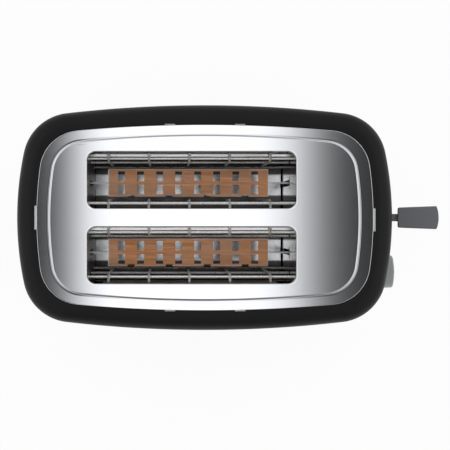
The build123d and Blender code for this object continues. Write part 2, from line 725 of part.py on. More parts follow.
def make_wire_guards():
    """Four welded wire guards; the lowest rod of each turns in the end plates."""
    for place, slot_y, side in (
        ("near_outer", -SLOT_Y, -1),
        ("near_inner", -SLOT_Y, 1),
        ("far_inner", SLOT_Y, -1),
        ("far_outer", SLOT_Y, 1),
    ):
        stem_y = slot_y + side * GUARD_OFFSET
        with BuildPart() as wire_guard:
            for index in range(GUARD_WIRES):
                x = GUARD_X + (index - (GUARD_WIRES - 1) / 2) * FINGER_PITCH
                with BuildLine(across(x)):
                    FilletPolyline(
                        (stem_y, GUARD_HINGE_Z),
                        (stem_y, GUARD_BEND_Z),
                        (slot_y + side * GUARD_FLARE, GUARD_TOP_Z),
                        radius=GUARD_BEND_RADIUS,
                    )
                with BuildSketch(Plane((BODY_X + x, stem_y, GUARD_HINGE_Z))):
                    RegularPolygon(GUARD_WIRE_RADIUS, GUARD_WIRE_SIDES)
                sweep()
            rod_y, rod_z = GUARD_TOP_ROD
            middle_y = stem_y + side * (GUARD_WIRE_RADIUS + GUARD_ROD_RADIUS - WELD_BITE)
            with BuildSketch(across(REAR_PLATE_X + ROD_END_GAP)):
                with Locations((slot_y + side * rod_y, rod_z), (middle_y, GUARD_MIDDLE_Z)):
                    RegularPolygon(GUARD_ROD_RADIUS, GUARD_WIRE_SIDES)
            extrude(amount=CHASSIS_GAP - 2 * ROD_END_GAP)
            with BuildSketch(across(REAR_PLATE_X - PIN_LENGTH)):
                with Locations((stem_y, GUARD_HINGE_Z)):
                    Circle(GUARD_ROD_RADIUS)
            extrude(amount=CHASSIS_GAP + 2 * PIN_LENGTH)
        save(wire_guard, f"{place}_guard")


def turn(start, inwards, aside, outwards, radius):
    """Half turn of two quarter arcs in the open line: it enters along inwards, leaves along outwards."""
    middle = start + (inwards + aside) * radius
    end = middle + (aside + outwards) * radius
    rise = 1 - sqrt(0.5)
    ThreePointArc(start, start + inwards * (radius * sqrt(0.5)) + aside * (radius * rise), middle)
    ThreePointArc(middle, middle + aside * (radius * sqrt(0.5)) + outwards * (radius * rise), end)
    return end


def ribbon_runs(slope):
    """Runs of the ribbon on one face of a card as seen from the near side, each with level ends."""
    edge = CHASSIS_GAP / 2 - CARD_NECK
    half = RIBBON_WIDTH / 2
    with BuildSketch() as runs:
        for loop in range(RIBBON_LOOPS):
            right_z = RIBBON_TOP - (loop + 0.5) * RIBBON_PITCH
            left_z = right_z - slope * RIBBON_PITCH / 2
            with BuildLine():
                Polyline(
                    (SLOT_X - edge - RIBBON_END, left_z + half),
                    (SLOT_X - edge, left_z + half),
                    (SLOT_X + edge, right_z + half),
                    (SLOT_X + edge + RIBBON_END, right_z + half),
                    (SLOT_X + edge + RIBBON_END, right_z - half),
                    (SLOT_X + edge, right_z - half),
                    (SLOT_X - edge, left_z - half),
                    (SLOT_X - edge - RIBBON_END, left_z - half),
                    close=True,
                )
            make_face()
    return runs.sketch


def make_heating_elements():
    """Three mica cards between the end plates, each wound with one unbroken flat ribbon."""
    card_middle_z = (CARD_BOTTOM + CARD_TOP) / 2
    neck_height = CARD_TOP - CARD_BOTTOM - 2 * CARD_EAR
    edge = CHASSIS_GAP / 2 - CARD_NECK
    for place, y in (("near", -OUTER_CARD_Y), ("centre", 0), ("far", OUTER_CARD_Y)):
        with BuildPart() as card:
            with BuildSketch(side_view(y)):
                with Locations((SLOT_X, card_middle_z)):
                    Rectangle(CHASSIS_GAP, CARD_TOP - CARD_BOTTOM)
                with Locations((SLOT_X, card_middle_z)):
                    with GridLocations(CHASSIS_GAP - CARD_NECK, 1, 2, 1):
                        Rectangle(CARD_NECK, neck_height, mode=Mode.SUBTRACT)
            extrude(amount=CARD_SHEET / 2, both=True)
        save(card, f"{place}_element_card")
        # Bands that fall to the right on the near face and to the left on the far face
        with BuildPart() as bands:
            with BuildSketch(side_view(y)):
                add(ribbon_runs(-1))
            extrude(amount=CARD_SHEET + RIBBON_SHEET)
            with BuildSketch(side_view(y)):
                add(ribbon_runs(1))
            extrude(amount=-CARD_SHEET - RIBBON_SHEET)
        # The same bands in a thin sleeve round the card are the ribbon
        with BuildPart() as ribbon:
            with BuildSketch(level(CARD_BOTTOM)):
                with Locations((SLOT_X, y)):
                    Rectangle(2 * (edge + RIBBON_SHEET), CARD_SHEET + 2 * RIBBON_SHEET)
                    Rectangle(2 * edge, CARD_SHEET, mode=Mode.SUBTRACT)
            extrude(amount=CARD_TOP - CARD_BOTTOM)
            add(bands.part, mode=Mode.INTERSECT)
        save(ribbon, f"{place}_element_ribbon")
    print("least gap in a ribbon:", min(CARD_SHEET, RIBBON_PITCH - RIBBON_WIDTH))


def make_lift_bracket():
    """Steel bracket that joins both racks to the lever and slides on the guide rod by two ears."""
    with BuildPart() as lift_bracket:
        with BuildSketch(across(BRACKET_X)):
            with Locations((0, (BRACKET_BOTTOM + BRACKET_SHOULDER) / 2)):
                RectangleRounded(2 * BRACKET_HALF_WIDTH, BRACKET_SHOULDER - BRACKET_BOTTOM, BRACKET_CORNER)
            with Locations((0, (BRACKET_BOTTOM + BRACKET_TOP) / 2)):
                RectangleRounded(2 * BRACKET_WEB, BRACKET_TOP - BRACKET_BOTTOM, BRACKET_CORNER)
        extrude(amount=BRACKET_SHEET)
        for ear_z in EAR_HEIGHTS:
            with BuildSketch(level(ear_z)):
                with Locations((BRACKET_X + EAR_REACH / 2, ROD_Y)):
                    Rectangle(EAR_REACH, 2 * EAR_HALF_WIDTH)
                with Locations((ROD_X, ROD_Y)):
                    Circle(ROD_RADIUS + ROD_GAP, mode=Mode.SUBTRACT)
            extrude(amount=BRACKET_SHEET)
        with BuildSketch(level(SPRING_BOTTOM - BRACKET_SHEET)):
            with Locations((BRACKET_X + EAR_REACH / 2, SPRING_Y)):
                Rectangle(EAR_REACH, 2 * EAR_HALF_WIDTH)
        extrude(amount=BRACKET_SHEET)
    save(lift_bracket, "lift_bracket")


def make_guide_rod():
    """Upright steel rod that the bracket slides on."""
    with BuildPart() as guide_rod:
        with BuildSketch(level(COVER_TOP)):
            with Locations((ROD_X, ROD_Y)):
                Circle(ROD_RADIUS)
        extrude(amount=ROD_TOP - COVER_TOP)
        chamfer(guide_rod.edges().group_by(Axis.Z)[-1], length=ROD_CHAMFER)
    save(guide_rod, "guide_rod")


def make_return_spring():
    """Tension spring from the bracket up to the top ear, one unbroken wire of open turns."""
    height = TOP_EAR_Z - SPRING_BOTTOM
    slope = height / (4 * SPRING_RADIUS * SPRING_TURNS)
    level_part = sqrt(1 - slope**2)
    up_far = Vector(0, level_part, slope)
    up_near = Vector(0, -level_part, slope)
    inwards = Vector(-1, 0, 0)
    start = Vector(BODY_X + ROD_X + SPRING_RADIUS, SPRING_Y, SPRING_BOTTOM)
    with BuildPart() as return_spring:
        with BuildLine() as wire:
            here = start
            for _ in range(SPRING_TURNS):
                here = turn(here, up_far, inwards, up_near, SPRING_RADIUS)
                here = turn(here, up_near, -inwards, up_far, SPRING_RADIUS)
        with BuildSketch(Plane(origin=start, x_dir=(1, 0, 0), z_dir=up_far)):
            Circle(SPRING_WIRE)
        sweep(path=wire.wires()[0])
        # Cut level at both ends, where the spring meets the two ears
        with BuildSketch(level(SPRING_BOTTOM)):
            with Locations((ROD_X, SPRING_Y)):
                Circle(2 * SPRING_RADIUS)
        extrude(amount=height, mode=Mode.INTERSECT)
    save(return_spring, "return_spring")
    print("least gap in the spring:", round(height / SPRING_TURNS - 2 * SPRING_WIRE, 2))


def make_electromagnet():
    """Iron core with two outer legs and a middle post, and the coil on the post."""
    leg_y = MAGNET_HALF_WIDTH - MAGNET_IRON / 2
    yoke_top = COVER_TOP + MAGNET_IRON
    with BuildPart() as magnet_core:
        with BuildSketch(level(COVER_TOP)):
            with Locations((MAGNET_X, 0)):
                Rectangle(MAGNET_DEPTH, 2 * MAGNET_HALF_WIDTH)
        extrude(amount=MAGNET_IRON)
        with BuildSketch(level(yoke_top)):
            with Locations((MAGNET_X, leg_y), (MAGNET_X, -leg_y)):
                Rectangle(MAGNET_DEPTH, MAGNET_IRON)
            with Locations((MAGNET_X, 0)):
                Circle(MAGNET_POST_RADIUS)
        extrude(amount=MAGNET_TOP - yoke_top)
    save(magnet_core, "magnet_core")
    with BuildPart() as magnet_coil:
        with BuildSketch(level(yoke_top)):
            with Locations((MAGNET_X, 0)):
                Circle(COIL_RADIUS)
                Circle(MAGNET_POST_RADIUS + COIL_GAP, mode=Mode.SUBTRACT)
        extrude(amount=MAGNET_TOP - MAGNET_IRON - yoke_top)
    save(magnet_coil, "magnet_coil")


def make_armature():
    """Steel tongue on the bracket that the magnet holds when the lever is down."""
    front = BRACKET_X + BRACKET_SHEET
    back = MAGNET_X - MAGNET_DEPTH / 2
    with BuildPart() as armature:
        with BuildSketch(level(ARMATURE_Z)):
            with Locations(((front + MAGNET_X) / 2, 0)):
                Rectangle(MAGNET_X - front, 2 * COIL_RADIUS)
            with Locations((MAGNET_X, 0)):
                Rectangle(MAGNET_X - back + MAGNET_DEPTH / 2, 2 * MAGNET_HALF_WIDTH)
        extrude(amount=ARMATURE_SHEET)
    save(armature, "armature")


def make_lever():
    """Steel strip from the bracket, and the grey moulded knob pushed onto it."""
    with BuildPart() as lever_strip:
        with BuildSketch(side_view()):
            with Locations(((BRACKET_X + BRACKET_SHEET + STRIP_END_X) / 2, LEVER_Z)):
                Rectangle(STRIP_END_X - BRACKET_X - BRACKET_SHEET, STRIP_HEIGHT)
        extrude(amount=STRIP_SHEET / 2, both=True)
    save(lever_strip, "lever_strip")
    with BuildPart() as lever_knob:
        with BuildSketch(level(LEVER_Z)):
            with BuildLine():
                Polyline(
                    (KNOB_SHOULDER_X, KNOB_OUTER_HALF), (KNOB_INNER_X, KNOB_INNER_HALF),
                    (KNOB_INNER_X, -KNOB_INNER_HALF), (KNOB_SHOULDER_X, -KNOB_OUTER_HALF),
                )
                near_shoulder = (KNOB_SHOULDER_X, -KNOB_OUTER_HALF)
                ThreePointArc(near_shoulder, (KNOB_TIP_X, 0), (KNOB_SHOULDER_X, KNOB_OUTER_HALF))
            make_face()
        extrude(amount=KNOB_HEIGHT / 2, both=True)
        fillet(lever_knob.edges().filter_by(Axis.Z), radius=KNOB_ROUND)
        fillet(lever_knob.faces().sort_by(Axis.Z)[-1].edges(), radius=KNOB_ROUND)
        fillet(lever_knob.faces().sort_by(Axis.Z)[0].edges(), radius=KNOB_ROUND)
        # Pocket round the stem in the knob's inner end
        with BuildSketch(across(KNOB_INNER_X)):
            with Locations((0, LEVER_Z)):
                Rectangle(KNOB_POCKET_WIDTH, KNOB_POCKET_HEIGHT)
        extrude(amount=KNOB_POCKET_DEPTH, mode=Mode.SUBTRACT)
        with BuildSketch(across(STEM_X)):
            with Locations((0, LEVER_Z)):
                RectangleRounded(STEM_WIDTH, STEM_HEIGHT, STEM_ROUND)
        extrude(amount=KNOB_INNER_X + KNOB_POCKET_DEPTH - STEM_X)
        with BuildSketch(across(STEM_X)):
            with Locations((0, LEVER_Z)):
                Rectangle(STRIP_SHEET + 2 * STRIP_GAP, STRIP_HEIGHT + 2 * STRIP_GAP)
        extrude(amount=STRIP_END_X - STEM_X, mode=Mode.SUBTRACT)
    save(lever_knob, "lever_knob")


def make_browning_dial():
    """Tapered round dial with a softened rim and a pointer groove, and the shaft that it turns."""
    with BuildPart() as browning_dial:
        with BuildSketch(across(DIAL_BACK_X)):
            with Locations((DIAL_Y, DIAL_Z)):
                Circle(DIAL_RADIUS)
        extrude(amount=DIAL_FACE_X - DIAL_BACK_X, taper=DIAL_TAPER)
        fillet(browning_dial.faces().sort_by(Axis.X)[-1].edges(), radius=DIAL_ROUND)
        with BuildSketch(across(DIAL_FACE_X - DIAL_GROOVE_DEPTH)):
            with Locations((DIAL_Y, DIAL_Z + DIAL_RADIUS - DIAL_GROOVE_LENGTH / 2)):
                Rectangle(DIAL_GROOVE_WIDTH, DIAL_GROOVE_LENGTH)
        extrude(amount=DIAL_GROOVE_DEPTH + CUT_MARGIN, mode=Mode.SUBTRACT)
        with BuildSketch(across(DIAL_BACK_X)):
            with Locations((DIAL_Y, DIAL_Z)):
                Circle(SHAFT_RADIUS)
        extrude(amount=SHAFT_DEPTH, mode=Mode.SUBTRACT)
    save(browning_dial, "browning_dial")
    shaft_start = BOARD_X + BOARD_SHEET + SHAFT_SEAT
    with BuildPart() as dial_shaft:
        with BuildSketch(across(shaft_start)):
            with Locations((DIAL_Y, DIAL_Z)):
                Circle(SHAFT_RADIUS)
        extrude(amount=DIAL_BACK_X + SHAFT_DEPTH - shaft_start)
    save(dial_shaft, "dial_shaft")


def make_control_board():
    """Board behind the dial, with the control that the dial turns and the switch that the button presses."""
    front = BOARD_X + BOARD_SHEET
    with BuildPart() as control_board:
        with BuildSketch(across(BOARD_X)):
            with Locations((BOARD_Y, (COVER_TOP + BOARD_TOP) / 2)):
                Rectangle(BOARD_WIDTH, BOARD_TOP - COVER_TOP)
        extrude(amount=BOARD_SHEET)
    save(control_board, "control_board")
    with BuildPart() as browning_control:
        with BuildSketch(across(front)):
            with Locations((DIAL_Y, DIAL_Z)):
                Circle(CONTROL_RADIUS)
        extrude(amount=CONTROL_DEPTH)
        with BuildSketch(across(front + CONTROL_DEPTH)):
            with Locations((DIAL_Y, DIAL_Z)):
                Circle(CONTROL_BUSH_RADIUS)
        extrude(amount=CONTROL_BUSH_LENGTH)
        with BuildSketch(across(front + SHAFT_SEAT)):
            with Locations((DIAL_Y, DIAL_Z)):
                Circle(SHAFT_RADIUS + SHAFT_GAP)
        extrude(amount=CONTROL_DEPTH + CONTROL_BUSH_LENGTH, mode=Mode.SUBTRACT)
    save(browning_control, "browning_control")
    with BuildPart() as cancel_switch:
        with BuildSketch(across(front)):
            with Locations((DIAL_Y, BUTTON_Z)):
                Rectangle(SWITCH_SIZE, SWITCH_SIZE)
        extrude(amount=SWITCH_DEPTH)
    save(cancel_switch, "cancel_switch")


def make_cancel_button():
    """Round button with a flange behind the wall and a stem that reaches the switch at full travel."""
    stem_x = BOARD_X + BOARD_SHEET + SWITCH_DEPTH + BUTTON_TRAVEL
    with BuildPart() as cancel_button:
        with BuildSketch(across(BUTTON_FLANGE_X)):
            with Locations((DIAL_Y, BUTTON_Z)):
                Circle(BUTTON_RADIUS)
        extrude(amount=BUTTON_FACE_X - BUTTON_FLANGE_X)
        fillet(cancel_button.edges().sort_by(Axis.X)[-1], radius=LIP_ROUND)
        with BuildSketch(across(BUTTON_FLANGE_X)):
            with Locations((DIAL_Y, BUTTON_Z)):
                Circle(BUTTON_FLANGE_RADIUS)
        extrude(amount=BUTTON_FLANGE)
        with BuildSketch(across(stem_x)):
            with Locations((DIAL_Y, BUTTON_Z)):
                Circle(BUTTON_STEM_RADIUS)
        extrude(amount=BUTTON_FLANGE_X - stem_x)
    save(cancel_button, "cancel_button")


def make_crumb_tray():
    """Shallow steel tray below the slots, and the moulded front that closes its hatch."""
    length = TRAY_FRONT_X - TRAY_REAR_X
    middle = (TRAY_FRONT_X + TRAY_REAR_X) / 2
    with BuildPart() as crumb_tray:
        with BuildSketch(level(TRAY_Z)):
            with Locations((middle, 0)):
                RectangleRounded(length, 2 * TRAY_HALF_WIDTH, TRAY_CORNER)
        extrude(amount=TRAY_HEIGHT)
        with BuildSketch(level(TRAY_Z + TRAY_SHEET)):
            with Locations((middle, 0)):
                RectangleRounded(
                    length - 2 * TRAY_SHEET, 2 * (TRAY_HALF_WIDTH - TRAY_SHEET), TRAY_CORNER - TRAY_SHEET
                )
        extrude(amount=TRAY_HEIGHT, mode=Mode.SUBTRACT)
    save(crumb_tray, "crumb_tray")
    with BuildPart() as tray_front:
        with BuildSketch(across(TRAY_REAR_X)):
            with Locations((0, (HATCH_BOTTOM + HATCH_TOP) / 2)):
                RectangleRounded(
                    2 * (HATCH_HALF_WIDTH - HATCH_GAP), HATCH_TOP - HATCH_BOTTOM - 2 * HATCH_GAP,
                    HATCH_CORNER - HATCH_GAP,
                )
        extrude(amount=-HATCH_DEPTH)
        add(housing_form(HATCH_GAP), mode=Mode.INTERSECT)
        # Finger scoop below the front edge
        with BuildSketch(side_view()):
            with Locations((SCOOP_X, HATCH_BOTTOM + HATCH_GAP)):
                Circle(SCOOP_RADIUS)
        extrude(amount=SCOOP_HALF_WIDTH, both=True, mode=Mode.SUBTRACT)
    save(tray_front, "tray_front")


def make_cord_plate():
    """Small plate that fills the notch in the far wall, with a lap inside the wall and a hole for the bush."""
    inner_bottom = HOUSING_BOTTOM - CUT_MARGIN
    with BuildPart() as cord_plate:
        add(cord_window(-CORD_PLATE_GAP, HOUSING_BOTTOM))
        add(housing_form(0), mode=Mode.INTERSECT)
        add(housing_form(WALL, inner_bottom), mode=Mode.SUBTRACT)
        lap = cord_window(CORD_PLATE_LAP, CORD_PLATE_LAP_BOTTOM) & housing_form(WALL, inner_bottom)
        add(lap - housing_form(WALL + CORD_PLATE_SHEET, inner_bottom))
        with BuildSketch(side_view(BUSH_INNER_Y)):
            with Locations((CORD_X, CORD_Z)):
                Circle(BUSH_RADIUS)
        extrude(amount=BUSH_INNER_Y - BODY_WIDTH / 2, mode=Mode.SUBTRACT)
    save(cord_plate, "cord_plate")


def make_cord_entry():
    """Flanged bush in the far side for the mains lead, and the terminal block on the base."""
    with BuildPart() as cord_bush:
        with BuildSketch(side_view(BUSH_INNER_Y)):
            with Locations((CORD_X, CORD_Z)):
                Circle(BUSH_FLANGE_RADIUS)
        extrude(amount=BUSH_INNER_Y - BUSH_FACE_Y)
        add(housing_form(0), mode=Mode.SUBTRACT)
        with BuildSketch(side_view(BUSH_INNER_Y)):
            with Locations((CORD_X, CORD_Z)):
                Circle(BUSH_RADIUS)
        extrude(amount=BUSH_INNER_Y - BUSH_FACE_Y)
        with BuildSketch(side_view(BUSH_INNER_Y - CUT_MARGIN)):
            with Locations((CORD_X, CORD_Z)):
                Circle(CORD_BORE)
        extrude(amount=BUSH_INNER_Y - BUSH_FACE_Y - 2 * CUT_MARGIN, mode=Mode.SUBTRACT)
    save(cord_bush, "cord_bush")
    block_length, block_width, block_height = BLOCK_SIZE
    with BuildPart() as terminal_block:
        with BuildSketch(level(COVER_TOP)):
            with Locations(BLOCK_PLACE):
                Rectangle(block_length, block_width)
        extrude(amount=block_height)
        chamfer(terminal_block.faces().sort_by(Axis.Z)[-1].edges(), length=BLOCK_CHAMFER)
    save(terminal_block, "terminal_block")


if __name__ == "__main__":
    make_outer_housing()
    make_top_plate()
    make_plate_clips()
    make_base_cover()
    make_feet()
    make_base_screws()
    make_front_end_plate()
    make_rear_end_plate()
    make_side_sheets()
    make_racks()
    make_wire_guards()
    make_heating_elements()
    make_lift_bracket()
    make_guide_rod()
    make_return_spring()
    make_electromagnet()
    make_armature()
    make_lever()
    make_browning_dial()
    make_control_board()
    make_cancel_button()
    make_crumb_tray()
    make_cord_plate()
    make_cord_entry()
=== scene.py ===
# %% [markdown]
# A two-slot toaster seen from straight above: a black moulded housing, a polished steel top with a
# raised panel, and wire guards in both slots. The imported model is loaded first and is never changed:
# it says where every piece is. Each visible curved piece is then made again as a smooth surface.

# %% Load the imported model
import json
import math
import bmesh
import bpy
import numpy as np
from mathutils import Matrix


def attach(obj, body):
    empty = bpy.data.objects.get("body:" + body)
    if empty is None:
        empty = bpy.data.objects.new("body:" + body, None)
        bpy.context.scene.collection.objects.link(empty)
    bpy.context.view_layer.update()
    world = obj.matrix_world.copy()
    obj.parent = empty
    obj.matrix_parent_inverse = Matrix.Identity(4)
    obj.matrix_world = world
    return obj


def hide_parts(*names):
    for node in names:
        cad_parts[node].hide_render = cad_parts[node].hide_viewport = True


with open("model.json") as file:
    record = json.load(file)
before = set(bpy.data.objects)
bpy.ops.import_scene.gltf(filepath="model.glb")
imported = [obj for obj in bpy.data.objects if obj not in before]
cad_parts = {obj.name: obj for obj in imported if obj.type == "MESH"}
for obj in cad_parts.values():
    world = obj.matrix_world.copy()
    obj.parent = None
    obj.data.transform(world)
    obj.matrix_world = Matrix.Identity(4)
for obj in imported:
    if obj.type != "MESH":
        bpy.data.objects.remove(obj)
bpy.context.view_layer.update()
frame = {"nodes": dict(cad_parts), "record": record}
BODY = "toaster_body"
MM = 0.001

# %% [markdown]
# The camera hangs about 1.1 m above the rim and looks straight down on the middle of the body. From
# there the rim hides the walls, and the knob and the dial, which are lower, look a little smaller.

# %% Camera
BODY_X = -18.6
CAMERA_X = BODY_X - 25.0
CAMERA_Z = 1265.0
LENS = 129.4
SENSOR = 36.0
REFERENCE = 1100.0
PICTURE_SHIFT = (0.0456, -0.0164)


def make_camera():
    """Straight down from CAMERA_X, with the picture's middle PICTURE_SHIFT away from the body's.

    The shift counts in widths of the picture. At the distance of the rim, one width is
    sensor * reference / lens, about 306 mm.
    """
    width = SENSOR * REFERENCE / LENS
    data = bpy.data.cameras.new("camera")
    data.sensor_width = SENSOR
    data.lens = LENS
    data.shift_x = PICTURE_SHIFT[0] + (BODY_X - CAMERA_X) / width
    data.shift_y = PICTURE_SHIFT[1]
    data.clip_start = 0.05
    data.clip_end = 30.0
    camera = bpy.data.objects.new("camera", data)
    camera.location = (CAMERA_X * MM, 0.0, CAMERA_Z * MM)
    bpy.context.scene.collection.objects.link(camera)
    bpy.context.scene.camera = camera


make_camera()
print("camera over x", CAMERA_X, "at a height of", CAMERA_Z, "mm")

# %% [markdown]
# Every new surface is a stack of rows of points, like the hoops of a basket. Rows are worked out as
# whole arrays, and neighbouring rows are joined by four-sided faces. Sizes are in millimetres and are
# turned into metres only when the mesh is made.

# %% Rows of points to a mesh


def grid_faces(rows, columns, first=0, close_rows=False):
    """Quads of a grid of hoops: corners (i, j), (i, j+1), (i+1, j+1), (i+1, j), with j wrapping round."""
    last = rows if close_rows else rows - 1
    i, j = np.meshgrid(np.arange(last), np.arange(columns), indexing="ij")
    right = (j + 1) % columns
    up = (i + 1) % rows
    here, above = i * columns, up * columns
    quads = np.stack([here + j, here + right, above + right, above + j], axis=-1)
    return quads.reshape(-1, 4) + first


def piece_from(name, points, faces, smooth_angle=35.0):
    """Mesh object from points in millimetres, faces outwards, edges sharper than the angle kept."""
    mesh = bpy.data.meshes.new(name)
    mesh.from_pydata((np.asarray(points) * MM).tolist(), [], faces)
    mesh.update()
    piece = bpy.data.objects.new(name, mesh)
    bpy.context.scene.collection.objects.link(piece)
    tidy_mesh(piece, smooth_angle)
    return piece


def tidy_mesh(piece, smooth_angle):
    """Merge doubles, turn all faces outwards and shade smooth except at sharp edges."""
    work = bmesh.new()
    work.from_mesh(piece.data)
    bmesh.ops.remove_doubles(work, verts=work.verts, dist=1e-6)
    bmesh.ops.recalc_face_normals(work, faces=work.faces)
    for edge in work.edges:
        edge.smooth = len(edge.link_faces) == 2 and edge.calc_face_angle() < math.radians(smooth_angle)
    for face in work.faces:
        face.smooth = True
    work.to_mesh(piece.data)
    work.free()


def skin_faces(rows, first=0, close_rows=False):
    """Faces over hoops of equal count: joined to a ring, or closed by a flat face at both ends."""
    count, columns = rows.shape[:2]
    faces = grid_faces(count, columns, first, close_rows).tolist()
    if not close_rows:
        end = np.arange(columns) + first
        faces += [end[::-1].tolist(), (end + (count - 1) * columns).tolist()]
    return faces


def loft(name, rows, close_rows=False, smooth_angle=35.0):
    """One piece from a skin over hoops."""
    rows = np.asarray(rows, dtype=float)
    return piece_from(name, rows.reshape(-1, 3), skin_faces(rows, 0, close_rows), smooth_angle)


def gather(name, skins, smooth_angle=50.0):
    """One piece from several skins, each closed at both ends."""
    points = []
    faces = []
    first = 0
    for rows in skins:
        faces += skin_faces(rows, first)
        points.append(rows.reshape(-1, 3))
        first += len(points[-1])
    return piece_from(name, np.concatenate(points), faces, smooth_angle)


# %% [markdown]
# The body, the steel plate and its raised panel all have the same kind of outline seen from above:
# two long flat arcs, two shorter arcs at the ends and four round corners, each tangent to the next.
# A point on such an outline is found from the direction of its normal, so outlines of different
# sizes can be joined point by point.

# %% Outlines
# Length, width, and the radii of the side arcs, the end arcs and the corners
BODY_SIZES = (254.4, 152.0, 840.0, 215.0, 33.5)
PLATE_SIZES = (226.5, 124.6, 985.0, 251.0, 28.0)
PANEL_SIZES = (207.3, 109.3, 835.0, 229.5, 21.0)
CROWN_RADIUS = 2000.0
BODY_TOP = 182.9


def outline(sizes, angle, inset=0.0):
    """Points (x, y) where the outline's outward normal has the given angle.

    Arc centre plus (radius - inset) times the normal; which arc it is follows from the angle alone.
    """
    length, width, side_radius, end_radius, corner_radius = sizes
    side_centre = np.array([0.0, width / 2 - side_radius])
    end_centre = np.array([length / 2 - end_radius, 0.0])
    between = end_centre - side_centre
    span = np.hypot(*between)
    side_reach = side_radius - corner_radius
    end_reach = end_radius - corner_radius
    along = (side_reach**2 - end_reach**2 + span**2) / (2 * span)
    aside = math.sqrt(side_reach**2 - along**2)
    run = between / span
    corner_centre = side_centre + run * along + np.array([run[1], -run[0]]) * aside
    first = math.atan2(*(corner_centre - end_centre)[::-1])
    second = math.atan2(*(corner_centre - side_centre)[::-1])
    quarter = np.arcsin(np.abs(np.sin(angle)))
    on_end = (quarter <= first)[:, None]
    on_side = (quarter >= second)[:, None]
    centre = np.where(on_end, end_centre, np.where(on_side, side_centre, corner_centre))
    radius = np.where(on_end, end_radius, np.where(on_side, side_radius, corner_radius))[:, 0] - inset
    x = centre[:, 0] + radius * np.cos(quarter)
    y = centre[:, 1] + radius * np.sin(quarter)
    return np.stack([x * np.sign(np.cos(angle) + 1e-12), y * np.sign(np.sin(angle) + 1e-12)], axis=1)


def even_angles(sizes, stops, counts):
    """Normal angles that split the outline between the given stops into equal lengths."""
    parts = []
    for start, stop, count in zip(stops[:-1], stops[1:], counts):
        fine = np.linspace(start, stop, 4001)
        points = outline(sizes, fine)
        length = np.concatenate([[0.0], np.cumsum(np.hypot(*np.diff(points, axis=0).T))])
        parts.append(np.interp(np.linspace(0, length[-1], count + 1)[:-1], length, fine))
    return np.concatenate(parts)


def crown(x):
    """Height of the arched top at x: a circle of the crown radius with its crest over the middle."""
    return BODY_TOP - CROWN_RADIUS + np.sqrt(CROWN_RADIUS**2 - x**2)


def hoop(xy, z):
    """Row of points from plan points and heights, moved from the middle of the body to the frame."""
    return np.column_stack([xy[:, 0] + BODY_X, xy[:, 1], np.broadcast_to(z, len(xy))])


print("body", BODY_SIZES[:2], "steel top", PLATE_SIZES[:2], "panel", PANEL_SIZES[:2])

# %% [markdown]
# The housing is one moulding with a soft shoulder. A satin black plastic shows its form only by its
# highlights, so the shoulder needs a true round. The wall is carried round the outline as a closed
# section: up the outside, over the shoulder, into the seat of the plate, and down the inside.

# %% Housing
WALL = 2.6
SHOULDER = 12.0
BELT_Z = 120.0
HEM_Z = 5.5
DRAFT = math.tan(math.radians(1.4))
SEAT_GAP = 0.15
SEAT_DEPTH = 1.2
SEAT_LIP = 0.4
LEDGE = 5.0


def housing_rows():
    """Hoops of the housing's closed section.

    Outside: inset (belt - z) * draft below the belt, then straight, then a quarter circle of the
    shoulder's radius measured from the arched top, then the seat. Inside: the same, moved in by the wall.
    """
    angle = even_angles(BODY_SIZES, np.linspace(0, 2 * math.pi, 5), [96] * 4)
    rows = []

    def wall(inset, z):
        rows.append(hoop(outline(BODY_SIZES, angle, inset), z))

    def top(sizes, inset, drop):
        xy = outline(sizes, angle, inset)
        rows.append(hoop(xy, crown(xy[:, 0]) - drop))

    for z in (HEM_Z, HEM_Z + 0.6, 30.0, 60.0, 90.0, BELT_Z, 145.0):
        wall(max(BELT_Z - z, 0) * DRAFT, z)
    for turn in np.linspace(0, math.pi / 2, 19):
        top(BODY_SIZES, SHOULDER * (1 - math.cos(turn)), SHOULDER * (1 - math.sin(turn)))
    for turn in np.linspace(0, math.pi / 2, 5):
        top(PLATE_SIZES, -SEAT_GAP - SEAT_LIP * (1 - math.sin(turn)), SEAT_LIP * (1 - math.cos(turn)))
    for inset, drop in ((-SEAT_GAP, SEAT_DEPTH), (LEDGE, SEAT_DEPTH), (LEDGE, WALL)):
        top(PLATE_SIZES, inset, drop)
    soft = SHOULDER - WALL
    for turn in np.linspace(math.pi / 2, 0, 7):
        top(BODY_SIZES, WALL + soft * (1 - math.cos(turn)), WALL + soft * (1 - math.sin(turn)))
    for z in (BELT_Z, HEM_Z + 0.6, HEM_Z):
        wall(WALL + (BELT_Z - z) * DRAFT, z)
    return rows


housing = loft("housing_skin", housing_rows(), close_rows=True, smooth_angle=40.0)
print("housing faces:", len(housing.data.polygons))

# %% [markdown]
# Openings in a wall are easiest to make by cutting with a solid of their shape. The solids run along
# X, through the end walls, and their sections are loops of points in Y and Z.

# %% Cutting solids
INSIDE_X = 112.0
OUTSIDE_X = 135.0


def end_wall_x(y, z, inset=0.0):
    """Distance of the end wall from the body's middle: its arc, moved in by the draft below the belt."""
    inward = inset + np.maximum(BELT_Z - z, 0) * DRAFT
    length, end_radius = BODY_SIZES[0], BODY_SIZES[3]
    return length / 2 - end_radius + np.sqrt((end_radius - inward) ** 2 - y**2)


def stadium(count, centre, half_run, radius):
    """Closed loop (y, z) of two half circles joined by upright straight runs."""
    turn = np.linspace(0, 2 * math.pi, count, endpoint=False)
    y = centre[0] + radius * np.cos(turn)
    z = centre[1] + radius * np.sin(turn) + half_run * np.sign(np.sin(turn) + 1e-9)
    return np.column_stack([y, z])


